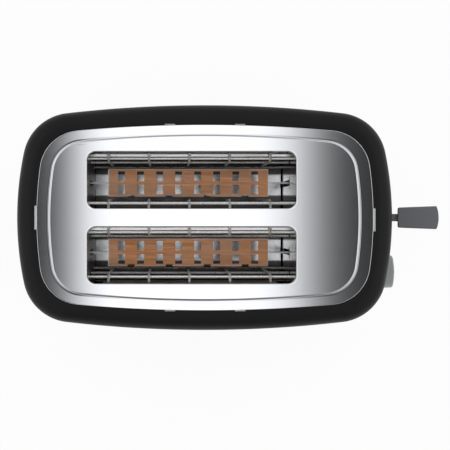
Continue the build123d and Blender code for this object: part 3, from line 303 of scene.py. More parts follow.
def rounded_box_loop(centre, half_width, half_height, radius, count=8, between=0):
    """Closed loop of a rectangle: a quarter circle at each corner, and points between them on the sides."""
    turn = np.linspace(0, math.pi / 2, count)
    corner = np.concatenate([turn + quarter * math.pi / 2 for quarter in range(4)])
    side_y = np.repeat([1, -1, -1, 1], count) * (half_width - radius)
    side_z = np.repeat([1, 1, -1, -1], count) * (half_height - radius)
    y = centre[0] + side_y + radius * np.cos(corner)
    z = centre[1] + side_z + radius * np.sin(corner)
    loop = np.column_stack([y, z]).reshape(4, count, 2)
    share = np.linspace(0, 1, between + 2)[1:-1, None]
    runs = loop[:, -1:] * (1 - share) + np.roll(loop[:, :1], -1, axis=0) * share
    return np.concatenate([loop, runs], axis=1).reshape(-1, 2)


def end_prism(name, loops, distances):
    """Solid along X whose hoops are loops (y, z), each with its distance from the body's middle."""
    rows = []
    for x, loop in zip(distances, loops):
        rows.append(np.column_stack([np.broadcast_to(x, len(loop)) + BODY_X, loop]))
    return loft(name, rows, smooth_angle=30.0)


def cut(piece, cutter, operation="DIFFERENCE"):
    """Boolean with another solid, applied at once; the other solid is deleted."""
    modifier = piece.modifiers.new("cut", "BOOLEAN")
    modifier.operation = operation
    modifier.object = cutter
    modifier.solver = "EXACT"
    bpy.context.view_layer.objects.active = piece
    bpy.ops.object.modifier_apply(modifier=modifier.name)
    bpy.data.objects.remove(cutter)


# %% [markdown]
# The finished wall gets the pad behind the dial and the button, the channel and slot of the lever, the
# holes for the dial's shaft and the button, the hatch of the crumb tray and the notch of the cord plate.

# %% Openings in the housing
LEVER_Z = 128.0
TRAVEL = 55.0
LEVER_MIDDLE = (0.0, LEVER_Z - TRAVEL / 2)
CHANNEL_RUN = 37.0
CHANNEL_RADIUS = 12.0
CHANNEL_DEPTH = 0.8
DIAL_Y = -40.1
DIAL_Z = 60.0
BUTTON_Z = 34.0
PAD_X = 124.6
PAD_MIDDLE = (DIAL_Y, (DIAL_Z + BUTTON_Z) / 2)
PAD_RUN = (DIAL_Z - BUTTON_Z) / 2
PAD_RADIUS = 14.0
PAD_ROUND = 1.2
# Centre, half of the straight run and radius of the lever's slot and of the two holes
HOLES = [(LEVER_MIDDLE, 31.8, 3.2), ((DIAL_Y, DIAL_Z), 0.0, 5.0), ((DIAL_Y, BUTTON_Z), 0.0, 6.4)]
# Middle, half width, half height and corner radius of the tray's hatch
HATCH = ((0.0, 16.0), 51.0, 6.6, 2.4)
CORD_NOTCH = np.array([(60.0, 4.0), (80.0, 4.0), (80.0, 31.0), (60.0, 31.0)])


def lever_channel_cutter():
    """Long shallow recess: its rings shrink towards the middle line and follow the wall."""
    scales = (1.0, 1.0, 0.8, 0.6, 0.4, 0.2, 0.05)
    rings = [stadium(96, LEVER_MIDDLE, CHANNEL_RUN, CHANNEL_RADIUS * scale) for scale in scales]
    floor = [end_wall_x(ring[:, 0], ring[:, 1], CHANNEL_DEPTH) for ring in rings[1:]]
    return end_prism("channel_cutter", rings, [OUTSIDE_X] + floor)


def control_pad(inset, name, back):
    """Upright pad with a flat face; its hoops shrink over a small quarter circle round the face."""
    rows = [stadium(96, PAD_MIDDLE, PAD_RUN, PAD_RADIUS - inset)]
    places = [back]
    for turn in np.linspace(0, math.pi / 2, 6):
        radius = PAD_RADIUS - inset - PAD_ROUND * (1 - math.cos(turn))
        rows.append(stadium(96, PAD_MIDDLE, PAD_RUN, radius))
        places.append(PAD_X - inset - PAD_ROUND * (1 - math.sin(turn)))
    return end_prism(name, rows, places)


cut(housing, control_pad(0.0, "pad", 119.5), "UNION")
cut(housing, control_pad(WALL, "pad_hollow", INSIDE_X))
cut(housing, lever_channel_cutter())
for centre, half_run, hole_radius in HOLES:
    hole = stadium(48, centre, half_run, hole_radius)
    cut(housing, end_prism("hole", [hole, hole], [INSIDE_X, OUTSIDE_X]))
hatch = rounded_box_loop(*HATCH)
cut(housing, end_prism("hatch", [hatch, hatch], [-OUTSIDE_X, -100.0]))
cut(housing, end_prism("cord_notch", [CORD_NOTCH, CORD_NOTCH], [59.0, 85.0]))
tidy_mesh(housing, 40.0)
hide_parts("outer_housing")
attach(housing, BODY)
print("housing faces after cutting:", len(housing.data.polygons))

# %% [markdown]
# The steel top is one pressed sheet: a flat rim, a step up to the raised panel, and slots whose lips
# roll down. Polished steel shows every dent in a mesh, so its rows follow the outlines exactly, and
# the sheet between the slots is joined ring by ring to the panel's edge.

# %% Steel top
SLOT_X = -9.0
SLOT_Y = 25.2
SLOT_HALF = (70.0, 18.95)
SLOT_CORNER = 5.5
PLATE_SINK = 0.2
PANEL_RISE = 1.3
# Where each S curve of the step starts, its width and its rise: a gentle foot, then the step itself
STEP_FOOT = (-2.1, 0.95, 0.12)
STEP = (-1.15, 1.5, 1.18)
STEP_SHIFT = -0.4
SHEET = 1.0
LIP_Z = 177.6
LIP_ROLL = 0.75
CELL_MARGIN = 5.0
# Points on a short and a long side of a slot, and on half of one round corner
ACROSS = 14
ALONG = 56
ARC = 6
# Corners of a slot and of its cell, in units of their half sizes, from the lower right one
CORNERS = np.array([(1, -1), (1, 1), (-1, 1), (-1, -1)])
# Shares of the way from one edge to the next; rows close to an edge keep the sheet flat beside it
RIM_SHARES = (0.05, 0.25, 0.5, 0.75, 0.95, 1.0)
PANEL_SHARES = (0.01, 0.13, 0.25, 0.38, 0.5, 0.63, 0.75, 0.88, 1.0)
SLOT_SHARES = (0.0, 0.35, 0.7, 0.96, 1.0)


def slot_loop(grow):
    """Closed loop (x, y) of one slot, grown outwards, from the middle of the lower right arc.

    Each side is half an arc, a straight run and half an arc; an arc is centre + radius * (cos, sin).
    """
    radius = SLOT_CORNER + grow
    centres = CORNERS * (np.array(SLOT_HALF) - SLOT_CORNER)

    def half_arc(start):
        turn = np.linspace(start, start + math.pi / 4, ARC, endpoint=False)
        return radius * np.column_stack([np.cos(turn), np.sin(turn)])

    sides = []
    for quarter, count in enumerate((ACROSS, ALONG, ACROSS, ALONG)):
        centre, after = centres[quarter], centres[(quarter + 1) % 4]
        facing = quarter * math.pi / 2
        away = radius * np.array([math.cos(facing), math.sin(facing)])
        run = np.linspace(0, 1, count, endpoint=False)[:, None] * (after - centre)
        sides += [centre + half_arc(facing - math.pi / 4), centre + away + run, after + half_arc(facing)]
    return np.concatenate(sides) + [SLOT_X, SLOT_Y]


def cell_loop(middle, half):
    """Closed loop (x, y) of a rectangle with as many points on each side as the slot's loop has."""
    corners = CORNERS * half + middle
    sides = []
    for quarter, count in enumerate((ACROSS, ALONG, ACROSS, ALONG)):
        share = np.linspace(0, 1, count + 2 * ARC, endpoint=False)[:, None]
        sides.append(corners[quarter] * (1 - share) + corners[(quarter + 1) % 4] * share)
    return np.concatenate(sides)


def sheet_row(xy, drop=0.0):
    """Row of the sheet at the height of the rim's upper face, less the drop."""
    return hoop(xy, crown(xy[:, 0]) - PLATE_SINK - drop)


def step_line(angle, inset):
    """Outline of the raised panel, inset, moved along X by STEP_SHIFT."""
    return outline(PANEL_SIZES, angle, inset) + [STEP_SHIFT, 0.0]


def steel_top():
    """Points and faces of the sheet: rim and step rings, frame rings, and two rings round the slots."""
    points = []
    faces = []

    def add_rows(rows):
        rows = np.array(rows)
        faces.append(grid_faces(*rows.shape[:2], sum(map(len, points))))
        points.append(rows.reshape(-1, 3))

    far_edge = SLOT_Y + SLOT_HALF[1] + CELL_MARGIN
    half = np.array([SLOT_HALF[0] + CELL_MARGIN, far_edge / 2])
    cell = cell_loop(np.array([SLOT_X, far_edge / 2]), half)
    side = ACROSS + 2 * ARC
    long_side = ALONG + 2 * ARC
    far_half = cell[: side + long_side + side]
    frame_loop = np.concatenate([far_half, -far_half + [2 * SLOT_X, 0]])
    corner = math.pi / 4
    stops = [0, corner, math.pi - corner, math.pi, math.pi + corner, 2 * math.pi - corner, 2 * math.pi]
    angle = even_angles(PANEL_SIZES, stops, [side, long_side, side, side, long_side, side])
    # Underside of the rim, round its edge, and the flat rim up to the step
    rows = [sheet_row(outline(PLATE_SIZES, angle, inset), SHEET) for inset in (9.0, 0.35)]
    edge = SHEET / 2
    for turn in np.linspace(-math.pi / 2, math.pi / 2, 9):
        xy = outline(PLATE_SIZES, angle, edge * (1 - math.cos(turn)))
        rows.append(sheet_row(xy, edge * (1 - math.sin(turn))))
    rim_end = outline(PLATE_SIZES, angle, edge)
    step_start = step_line(angle, STEP_FOOT[0])
    rows += [sheet_row(rim_end * (1 - share) + step_start * share) for share in RIM_SHARES]
    # The two S curves of the step, each base + rise * (1 - cos) / 2 over its width
    base = 0.0
    for inset, width, rise in (STEP_FOOT, STEP):
        for share in np.linspace(0, 1, 11)[1:]:
            xy = step_line(angle, inset + width * share)
            rows.append(sheet_row(xy, -base - rise * (1 - math.cos(math.pi * share)) / 2))
        base += rise
    inner = step_line(angle, STEP[0] + STEP[1])
    rows += [sheet_row(inner * (1 - share) + frame_loop * share, -PANEL_RISE) for share in PANEL_SHARES]
    add_rows(rows)
    # Round each slot: from its cell inwards, then the lip rolls down and ends in a thin edge
    start = slot_loop(LIP_ROLL)
    rows = [sheet_row(cell * (1 - share) + start * share, -PANEL_RISE) for share in SLOT_SHARES]
    for turn in np.linspace(0, math.pi / 2, 9)[1:]:
        xy = slot_loop(LIP_ROLL * (1 - math.sin(turn)))
        rows.append(sheet_row(xy, -PANEL_RISE + LIP_ROLL * (1 - math.cos(turn))))
    for grow, z in ((0.0, LIP_Z), (0.6, LIP_Z), (0.6, LIP_Z + 2.0)):
        rows.append(hoop(slot_loop(grow), z))
    for sign in (1, -1):
        add_rows(np.array(rows) * [1, sign, 1])
    return np.concatenate(points), np.concatenate(faces).tolist()


top_points, top_faces = steel_top()
steel_plate = piece_from("steel_top", top_points, top_faces, smooth_angle=50.0)
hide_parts("top_plate")
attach(steel_plate, BODY)
print("steel top faces:", len(steel_plate.data.polygons))

# %% [markdown]
# Six small steel clips bridge the joint between plate and housing. Their tops are level, not arched, so
# they mirror the lamp and shine. Each is a bar whose upper edge is broken by a tiny quarter round.

# %% Plate clips
# Middle (x, y) and half sizes of each clip
END_CLIPS = [(-113.6, 0.0, 0.85, 8.0), (113.6, -1.6, 0.85, 7.7)]
SIDE_CLIPS = [(x, y, 3.5, 0.4) for x in (-23.5, 23.5) for y in (-62.3, 62.3)]
CLIP_RISE = 0.25
CLIP_HEIGHT = 1.4
CLIP_EDGE = 0.2


def clip_rows(x, y, half_x, half_y):
    """Hoops of a bar: rounded rectangle, upright to near its top, then inset * (1 - cos) up to level."""
    top = crown(x) + CLIP_RISE
    rows = [(0.0, top - CLIP_HEIGHT)]
    for turn in np.linspace(0, math.pi / 2, 5):
        rows.append((CLIP_EDGE * (1 - math.cos(turn)), top - CLIP_EDGE * (1 - math.sin(turn))))
    loops = [rounded_box_loop((x, y), half_x - inset, half_y - inset, 0.3) for inset, _ in rows]
    return np.array([hoop(loop, z) for loop, (_, z) in zip(loops, rows)])


clips = gather("clip_bars", [clip_rows(*place) for place in END_CLIPS + SIDE_CLIPS], 40.0)
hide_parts("plate_clips")
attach(clips, BODY)
print("clip faces:", len(clips.data.polygons))

# %% [markdown]
# The guards are bright wires, five upright ones on each side of a slot, welded to rods along it. A
# wire is a circle carried along its path. Each guard stays one piece, because it swings as one.

# %% Wire guards
# Middle line of the slot, side of it, and how far outside the wires the middle rod lies
GUARDS = {
    "near_outer": (-SLOT_Y, -1, 1.5),
    "near_inner": (-SLOT_Y, 1, -1.2),
    "far_inner": (SLOT_Y, -1, 1.5),
    "far_outer": (SLOT_Y, 1, 1.5),
}
GUARD_X = -10.2
PITCH = 27.6
WIRE_RADIUS = 0.8
ROD_RADIUS = 1.0
ROD_REACH = 71.5
PIN_REACH = 2.5
BEND_RADIUS = 4.0
# Off the slot's middle line: upright wires, their tips, the top rod
STEM_Y, TIP_Y, TOP_Y = 13.2, 18.3, 15.3
# Heights: hinge rod, middle rod, start of the bend, top rod, tips
HINGE_Z, WELD_Z, BEND_Z, TOP_Z, TIP_Z = 30.0, 95.0, 158.0, 158.4, 164.5


def unit(vector):
    """The vector at length 1."""
    return vector / np.linalg.norm(vector)


def arc_path(points, radius, steps=8):
    """Path through the points with every inner corner replaced by a tangent arc."""
    points = np.asarray(points, dtype=float)
    path = [points[0]]
    for before, here, after in zip(points[:-2], points[1:-1], points[2:]):
        back, ahead = unit(before - here), unit(after - here)
        half = math.acos(np.clip(back @ ahead, -1, 1)) / 2
        reach = radius / math.tan(half)
        centre = here + unit(back + ahead) * radius / math.sin(half)
        start = here + back * reach - centre
        end = here + ahead * reach - centre
        span = math.acos(np.clip(start @ end / radius**2, -1, 1))
        turn = np.linspace(0, 1, steps)[:, None]
        arc = np.sin((1 - turn) * span) * start + np.sin(turn * span) * end
        path += list(centre + arc / math.sin(span))
    path.append(points[-1])
    return np.array(path)


def tube_rows(path, across, radius, sides=12):
    """Circles round a flat path: centre + radius * (cos * side + sin * across), side square to the run."""
    path = np.asarray(path, dtype=float)
    run = np.gradient(path, axis=0)
    run /= np.linalg.norm(run, axis=1)[:, None]
    side = np.cross(run, across)
    turn = np.linspace(0, 2 * math.pi, sides, endpoint=False)
    ring = np.cos(turn)[:, None] * side[:, None, :] + np.sin(turn)[:, None] * across
    return path[:, None, :] + radius * ring


def guard_tubes(slot_y, side, weld):
    """Five bent wires, the top and middle rods, and the hinge rod, whose pins reach further out."""
    stem = slot_y + side * STEM_Y
    tip = slot_y + side * TIP_Y
    along = np.array([1.0, 0.0, 0.0])
    across = np.array([0.0, 1.0, 0.0])
    tubes = []
    for index in range(-2, 3):
        x = BODY_X + GUARD_X + index * PITCH
        path = arc_path([(x, stem, HINGE_Z), (x, stem, BEND_Z), (x, tip, TIP_Z)], BEND_RADIUS)
        tubes.append(tube_rows(path, along, WIRE_RADIUS))
    left, right = BODY_X + SLOT_X - ROD_REACH, BODY_X + SLOT_X + ROD_REACH
    top = slot_y + side * TOP_Y
    middle = stem + side * weld
    for y, z, reach in ((top, TOP_Z, 0.0), (middle, WELD_Z, 0.0), (stem, HINGE_Z, PIN_REACH)):
        path = np.array([(left - reach, y, z), (right + reach, y, z)])
        tubes.append(tube_rows(path, across, ROD_RADIUS))
    return tubes


for place, (slot_y, side, weld) in GUARDS.items():
    wires = gather(f"{place}_wires", guard_tubes(slot_y, side, weld))
    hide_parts(f"{place}_guard")
    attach(wires, f"{place}_guard_frame")
    print(place, "guard faces:", len(wires.data.polygons))

# %% [markdown]
# A thin folded strip runs along the far side of each slot, just outside the rod of the guard. Its level
# top catches the light of the lamp as a pale band behind the tips of the wires.

# %% Folded strips
STRIP_ENDS = (-80.9, 62.9)
STRIP_EDGES = (16.7, 18.5)
STRIP_TOP = 155.6
STRIP_LEG = 9
STRIP_SHEET = 0.6


def fold_section(slot_y):
    """Loop (y, z) of an angle section: a level flange and a leg that hangs from its outer edge."""
    inner, outer = slot_y + STRIP_EDGES[0], slot_y + STRIP_EDGES[1]
    low, under, back = STRIP_TOP - STRIP_LEG, STRIP_TOP - STRIP_SHEET, outer - STRIP_SHEET
    upper = [(inner, STRIP_TOP), (outer, STRIP_TOP), (outer, low)]
    return np.array(upper + [(back, low), (back, under), (inner, under)])


for place, slot_y in (("near", -SLOT_Y), ("far", SLOT_Y)):
    section = fold_section(slot_y)
    strip = end_prism(f"{place}_folded_strip", [section, section], STRIP_ENDS)
    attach(strip, BODY)
    print(place, "folded strip faces:", len(strip.data.polygons))

# %% [markdown]
# The lever's knob is a grey moulding that widens outwards to a softly rounded end. Its section is a
# rectangle with round corners, carried along X while its size changes.

# %% Lever knob
KNOB_HEIGHT = 7.0
KNOB_END = 8.1
KNOB_ROUND = 1.0
KNOB_LEAN = 0.15
KNOB_BULGE = 1.5


def knob_section(x, half_width, half_height, radius):
    """Rounded rectangle across X, round the lever's axis."""
    loop = rounded_box_loop((0.0, LEVER_Z), half_width, half_height, radius, between=11)
    return np.column_stack([np.full(len(loop), x + BODY_X), loop])


def knob_rows():
    """Hoops from the inner end to the tip: corners rounded in plan, a straight taper, then a flat arc.

    The inner end leans: its points lie lean * (depth below the upper face) further out. The arc moves a
    point out by bulge * (1 - (y / end)**2), and a small quarter round breaks its edge.
    """
    rows = [knob_section(135.5, 5.9, 6.4, KNOB_ROUND)]
    for turn in np.linspace(0, math.pi / 2, 6):
        soft = 1.0 - math.sin(turn)
        x = 136.7 - 1.1 * math.cos(turn)
        rows.append(knob_section(x, 7.1 - 1.1 * soft, KNOB_HEIGHT - 0.5 * soft, KNOB_ROUND))
    for row in rows:
        row[:, 0] += KNOB_LEAN * (LEVER_Z + KNOB_HEIGHT - row[:, 2])
    for x in (143.0, 149.0, 155.0, 160.8):
        rows.append(knob_section(x, 7.1 + (x - 136.4) / 26.5, KNOB_HEIGHT, KNOB_ROUND))
    turns = np.linspace(0, math.pi / 2, 6)
    ends = [(1.0 - 0.5 * (1 - math.cos(a)) / KNOB_END, 162.4 + 0.5 * math.sin(a)) for a in turns]
    for scale, x in ends + [(0.66, 162.9), (0.33, 162.9)]:
        row = knob_section(x, KNOB_END * scale, KNOB_HEIGHT * scale, KNOB_ROUND * scale)
        row[:, 0] += KNOB_BULGE * (1 - (row[:, 1] / KNOB_END) ** 2)
        rows.append(row)
    return rows


knob = loft("knob_grip", knob_rows(), smooth_angle=40.0)
pocket = rounded_box_loop((0.0, LEVER_Z), 3.0, 5.2, 0.6)
cut(knob, end_prism("pocket", [pocket, pocket], [130.0, 138.0]))
stem = rounded_box_loop((0.0, LEVER_Z), 2.6, 4.5, 0.8)
cut(knob, end_prism("stem", [stem, stem], [118.0, 139.0]), "UNION")
tidy_mesh(knob, 40.0)
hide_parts("lever_knob")
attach(knob, "carriage")
print("knob faces:", len(knob.data.polygons))

# %% [markdown]
# Round pieces are turned: the half section of the dial, the button or a foot goes once round its axis.

# %% Turned pieces
FEET = {"front_far": (94, 42), "front_near": (94, -42), "rear_far": (-94, 42), "rear_near": (-94, -42)}
FOOT_PROFILE = [(0.4, 0.0), (7.2, 0.0), (7.55, 0.15), (7.7, 0.5), (8.5, 6.0), (0.4, 6.0)]


def turned(name, profile, origin, axis, count=64):
    """Hoops of a lathe from profile points (radius, height), with u and v square to the axis.

    Each point is origin + height * axis + radius * (cos * u + sin * v).
    """
    profile = np.asarray(profile, dtype=float)
    axis = np.asarray(axis, dtype=float)
    u = np.array([0.0, 0.0, 1.0]) if abs(axis[2]) < 0.5 else np.array([1.0, 0.0, 0.0])
    v = np.cross(axis, u)
    turn = np.linspace(0, 2 * math.pi, count, endpoint=False)
    ring = np.cos(turn)[:, None] * u + np.sin(turn)[:, None] * v
    origin = np.asarray(origin, dtype=float) + [BODY_X, 0, 0]
    rows = origin + profile[:, 1, None, None] * axis + profile[:, 0, None, None] * ring
    return loft(name, rows)


def rounded_end(radius, height, soft, steps=6):
    """Profile points (radius, height) of a quarter round between a side and an end face."""
    turn = np.linspace(0, math.pi / 2, steps)
    return [(radius - soft * (1 - math.cos(a)), height - soft * (1 - math.sin(a))) for a in turn]


def dial_profile():
    """Half section of the dial: flange, elliptic edge and dome.

    The edge is (11.95 - 1.05 * (1 - cos), 15.9 + 1.1 * sin), the dome 18.3 - 1.3 * (radius / 11)**2.
    """
    turn = np.linspace(0, math.pi / 2, 7)
    edge = [(11.95 - 1.05 * (1 - math.cos(a)), 15.9 + 1.1 * math.sin(a)) for a in turn]
    radius = np.array([10.0, 8.5, 7.0, 5.5, 4.0, 2.5, 1.0, 0.4])
    dome = list(zip(radius, 18.3 - 1.3 * (radius / 11.0) ** 2))
    return [(3.02, 0.0), (12.4, 0.0), (12.6, 0.2)] + edge + dome


dial = turned("dial_grip", dial_profile(), (125.0, DIAL_Y, DIAL_Z), (1, 0, 0), count=96)
groove = rounded_box_loop((DIAL_Y, DIAL_Z + 9.1), 0.6, 3.5, 0.3)
cut(dial, end_prism("groove", [groove, groove], [141.6, 146.0]))
tidy_mesh(dial, 35.0)
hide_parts("browning_dial")
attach(dial, "dial")
print("dial faces:", len(dial.data.polygons))

button_profile = [(2.0, -10.55), (2.0, 0.0), (7.6, 0.0), (7.6, 1.5), (6.0, 1.5)]
button_profile += rounded_end(6.0, 6.6, 0.8) + [(0.4, 6.6)]
button = turned("button_cap", button_profile, (120.2, DIAL_Y, BUTTON_Z), (1, 0, 0))
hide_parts("cancel_button")
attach(button, "button")
print("button faces:", len(button.data.polygons))

for name, (x, y) in FEET.items():
    foot = turned(f"foot_pad_{name}", FOOT_PROFILE, (x, y, 0.0), (0, 0, 1))
    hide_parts(f"foot_{name}")
    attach(foot, BODY)
print("feet:", len(FEET))

# %% [markdown]
# Materials. Each finish is built from nodes: a colour, a roughness that varies a little, and a fine
# bump. Effects that several finishes share are node groups that give out only masks and heights.

# %% Shared effects


def group(name, inputs, outputs):
    """Empty node group with named float inputs and outputs."""
    tree = bpy.data.node_groups.new(name, "ShaderNodeTree")
    for in_out, titles in (("INPUT", inputs), ("OUTPUT", outputs)):
        for title in titles:
            tree.interface.new_socket(title, in_out=in_out, socket_type="NodeSocketFloat")
    return tree, tree.nodes.new("NodeGroupInput"), tree.nodes.new("NodeGroupOutput")


def feed(tree, socket, value):
    """Give a socket a plain number or the output of another node."""
    if isinstance(value, (int, float)):
        socket.default_value = value
    else:
        tree.links.new(value, socket)


def maths(tree, operation, first, second=0.0):
    """Result of one step of arithmetic on numbers or outputs."""
    node = tree.nodes.new("ShaderNodeMath")
    node.operation = operation
    feed(tree, node.inputs[0], first)
    feed(tree, node.inputs[1], second)
    return node.outputs["Value"]


def noise(tree, vector, scale, detail=4.0):
    """Value of a noise texture, with its scale a plain number or an output."""
    node = tree.nodes.new("ShaderNodeTexNoise")
    node.inputs["Detail"].default_value = detail
    feed(tree, node.inputs["Scale"], scale)
    tree.links.new(vector, node.inputs["Vector"])
    return node.outputs["Fac"]


def spread(tree, value, low, high, first=0.3, last=0.7):
    """Map first to last, by default the middle of a noise, onto low to high."""
    node = tree.nodes.new("ShaderNodeMapRange")
    for title, number in (("To Min", low), ("To Max", high), ("From Min", first), ("From Max", last)):
        feed(tree, node.inputs[title], number)
    tree.links.new(value, node.inputs["Value"])
    return node.outputs["Result"]


def moulded_grain_group():
    """Fine even grain of a moulding: a small noise for the height, a wide one for the roughness."""
    tree, start, end = group("moulded_grain", ["Grain", "Low", "High"], ["Height", "Roughness"])
    place = tree.nodes.new("ShaderNodeTexCoord").outputs["Object"]
    tree.links.new(noise(tree, place, start.outputs["Grain"], 2.0), end.inputs["Height"])
    wide = noise(tree, place, 35.0, 3.0)
    tree.links.new(spread(tree, wide, start.outputs["Low"], start.outputs["High"]), end.inputs["Roughness"])
    return tree


def rolled_sheet_group():
    """Rolling marks of steel sheet: noise stretched fiftyfold along one direction, and wide clouds."""
    inputs = ["Along X", "Along Y", "Along Z", "Low", "High"]
    tree, start, end = group("rolled_sheet", inputs, ["Height", "Roughness", "Cloud"])
    place = tree.nodes.new("ShaderNodeTexCoord").outputs["Object"]
    scale = tree.nodes.new("ShaderNodeCombineXYZ")
    for axis in "XYZ":
        tree.links.new(start.outputs[f"Along {axis}"], scale.inputs[axis])
    stretch = tree.nodes.new("ShaderNodeVectorMath")
    stretch.operation = "MULTIPLY"
    tree.links.new(place, stretch.inputs[0])
    tree.links.new(scale.outputs["Vector"], stretch.inputs[1])
    lines = noise(tree, stretch.outputs["Vector"], 1800.0, 3.0)
    rough = spread(tree, lines, start.outputs["Low"], start.outputs["High"])
    tree.links.new(lines, end.inputs["Height"])
    tree.links.new(rough, end.inputs["Roughness"])
    tree.links.new(noise(tree, place, 22.0, 3.0), end.inputs["Cloud"])
    return tree


MOULDED = moulded_grain_group()
ROLLED = rolled_sheet_group()
print("shared effects:", MOULDED.name, ROLLED.name)

# %% [markdown]
# A finish is a plastic or a sheet metal. Its two near tones wander into each other, and the numbers
# after them are the lowest and highest roughness and the strength of the bump.

# %% Finishes


def base_material(name, color, metallic=0.0):
    """Material with one Principled shader whose even values stand on its own sockets."""
    material = bpy.data.materials.new(name)
    material.use_nodes = True
    shader = material.node_tree.nodes["Principled BSDF"]
    shader.inputs["Base Color"].default_value = (*color, 1.0)
    shader.inputs["Metallic"].default_value = metallic
    material.diffuse_color = (*color, 1.0)
    return material, material.node_tree, shader


def use_group(tree, kind, **values):
    """Node of a shared effect with its inputs set."""
    node = tree.nodes.new("ShaderNodeGroup")
    node.node_tree = kind
    for title, value in values.items():
        node.inputs[title.replace("_", " ")].default_value = value
    return node


def bump(tree, shader, height, depth, distance=0.0001):
    """Bend the shader's normal with a height."""
    node = tree.nodes.new("ShaderNodeBump")
    node.inputs["Strength"].default_value = depth
    node.inputs["Distance"].default_value = distance
    tree.links.new(height, node.inputs["Height"])
    tree.links.new(node.outputs["Normal"], shader.inputs["Normal"])


def tint(tree, shader, value, first, second):
    """Base colour that wanders between two near tones with a mask."""
    mix = tree.nodes.new("ShaderNodeMix")
    mix.data_type = "RGBA"
    mix.inputs["A"].default_value = (*first, 1.0)
    mix.inputs["B"].default_value = (*second, 1.0)
    tree.links.new(spread(tree, value, 0.0, 1.0), mix.inputs["Factor"])
    tree.links.new(mix.outputs["Result"], shader.inputs["Base Color"])


def moulding(name, dark, light, low, high, depth, grain=2500.0, specular=0.5):
    """Moulded plastic or rubber: two near tones, soft roughness changes and a fine grain."""
    material, tree, shader = base_material(name, dark)
    shader.inputs["Specular IOR Level"].default_value = specular
    effect = use_group(tree, MOULDED, Grain=grain, Low=low, High=high)
    tree.links.new(effect.outputs["Roughness"], shader.inputs["Roughness"])
    bump(tree, shader, effect.outputs["Height"], depth)
    place = tree.nodes.new("ShaderNodeTexCoord").outputs["Object"]
    tint(tree, shader, noise(tree, place, 12.0), dark, light)
    return material


def sheet_metal(name, dark, light, low, high, depth, along="X", metallic=1.0):
    """Rolled sheet: metallic, with marks that run along one direction."""
    material, tree, shader = base_material(name, dark, metallic)
    stretch = {f"Along_{axis}": 0.02 if axis == along else 1.0 for axis in "XYZ"}
    effect = use_group(tree, ROLLED, Low=low, High=high, **stretch)
    tree.links.new(effect.outputs["Roughness"], shader.inputs["Roughness"])
    bump(tree, shader, effect.outputs["Height"], depth, 0.00005)
    tint(tree, shader, effect.outputs["Cloud"], dark, light)
    return material


RUBBER = (0.012, 0.012, 0.012), (0.02, 0.02, 0.02)
FINISHES = {
    "black_housing": moulding(
        "satin_black", (0.0085, 0.0085, 0.009), (0.0105, 0.0105, 0.011), 0.4, 0.48, 0.1, specular=0.1),
    "polished_plate": sheet_metal(
        "polished_steel", (0.645, 0.657, 0.68), (0.665, 0.677, 0.7), 0.055, 0.075, 0.0),
    "chassis_steel": sheet_metal(
        "plated_steel", (0.46, 0.47, 0.475), (0.54, 0.55, 0.56), 0.26, 0.4, 0.1, "Z"),
    "reflector_steel": sheet_metal("bright_sheet", (0.6, 0.6, 0.6), (0.68, 0.68, 0.68), 0.18, 0.3, 0.08),
    "guard_wire": sheet_metal(
        "bright_wire", (0.8, 0.8, 0.79), (0.88, 0.88, 0.87), 0.24, 0.34, 0.05, "Z", 0.55),
    "rack_steel": sheet_metal(
        "heat_tinted_rack_painted_shade", (0.6, 0.6, 0.6), (0.72, 0.72, 0.72), 0.26, 0.4, 0.08, "X", 0.7),
    "rod_steel": sheet_metal("ground_steel", (0.55, 0.55, 0.56), (0.62, 0.62, 0.63), 0.15, 0.25, 0.05, "Z"),
    "dial_plastic": moulding(
        "light_grey_moulding", (0.28, 0.295, 0.298), (0.295, 0.31, 0.313), 0.34, 0.42, 0.12, specular=0.4),
    "grey_plastic": moulding(
        "grey_moulding", (0.125, 0.129, 0.139), (0.134, 0.138, 0.148), 0.34, 0.42, 0.15, specular=0.4),
    "foot_rubber": moulding("foot_rubber", *RUBBER, 0.7, 0.85, 0.4, 900.0),
    "bush_rubber": moulding("bush_rubber", *RUBBER, 0.6, 0.8, 0.3, 1200.0),
    "mica": moulding("mica_sheet", (0.42, 0.36, 0.25), (0.52, 0.46, 0.34), 0.3, 0.6, 0.2, 600.0),
    "element_ribbon": sheet_metal("oxidised_ribbon", (0.2, 0.17, 0.15), (0.3, 0.26, 0.23), 0.4, 0.55, 0.1),
    "magnet_iron": sheet_metal("bare_iron", (0.3, 0.3, 0.31), (0.38, 0.38, 0.39), 0.35, 0.5, 0.1, "Z"),
    "copper_coil": sheet_metal("copper_winding", (0.5, 0.2, 0.09), (0.62, 0.27, 0.12), 0.3, 0.45, 0.6),
    "circuit_board": moulding("brown_board", (0.12, 0.07, 0.025), (0.16, 0.09, 0.03), 0.45, 0.6, 0.1),
    "control_parts": moulding("black_control", (0.02, 0.02, 0.022), (0.03, 0.03, 0.032), 0.4, 0.5, 0.1),
    "terminal_plastic": moulding("white_block", (0.6, 0.6, 0.57), (0.68, 0.68, 0.65), 0.4, 0.5, 0.1),
    "tray_steel": sheet_metal("tray_sheet", (0.46, 0.47, 0.48), (0.54, 0.55, 0.56), 0.12, 0.18, 0.03),
}
# Painted light: a lighter copy of the plated steel for the end plate towards the lever, standing for the
# light that falls on it through the slot.
PAINTED_LIGHT_ZINC = sheet_metal("zinc_with_painted_light", (0.9, 0.91, 0.92), (0.94, 0.95, 0.96), 0.1, 0.16, 0.03, "Z")
print("finishes:", len(FINISHES) + 1)

# %% [markdown]
# The heating elements tint the floor of each rack bronze. The rack's rim is painted dark, a painted shade
# for the shadowed gap beside the rack, and the tray is painted dark everywhere but in a narrow band below
# each slot, a painted shade for the shadow beside the guards. One mask serves all three: it is 1 near the
# middle line of a slot, and a colour is laid over the finish inside it ("B") or outside it ("A").

# %% Heat tint and painted shade
RACK_MIDDLE = -28.6
RACK_REACH = 57.6
BRONZE = (0.52, 0.225, 0.085)
RIM_PAINTED_SHADE = (0.07, 0.062, 0.056)
TRAY_PAINTED_SHADE = (0.05, 0.048, 0.046)


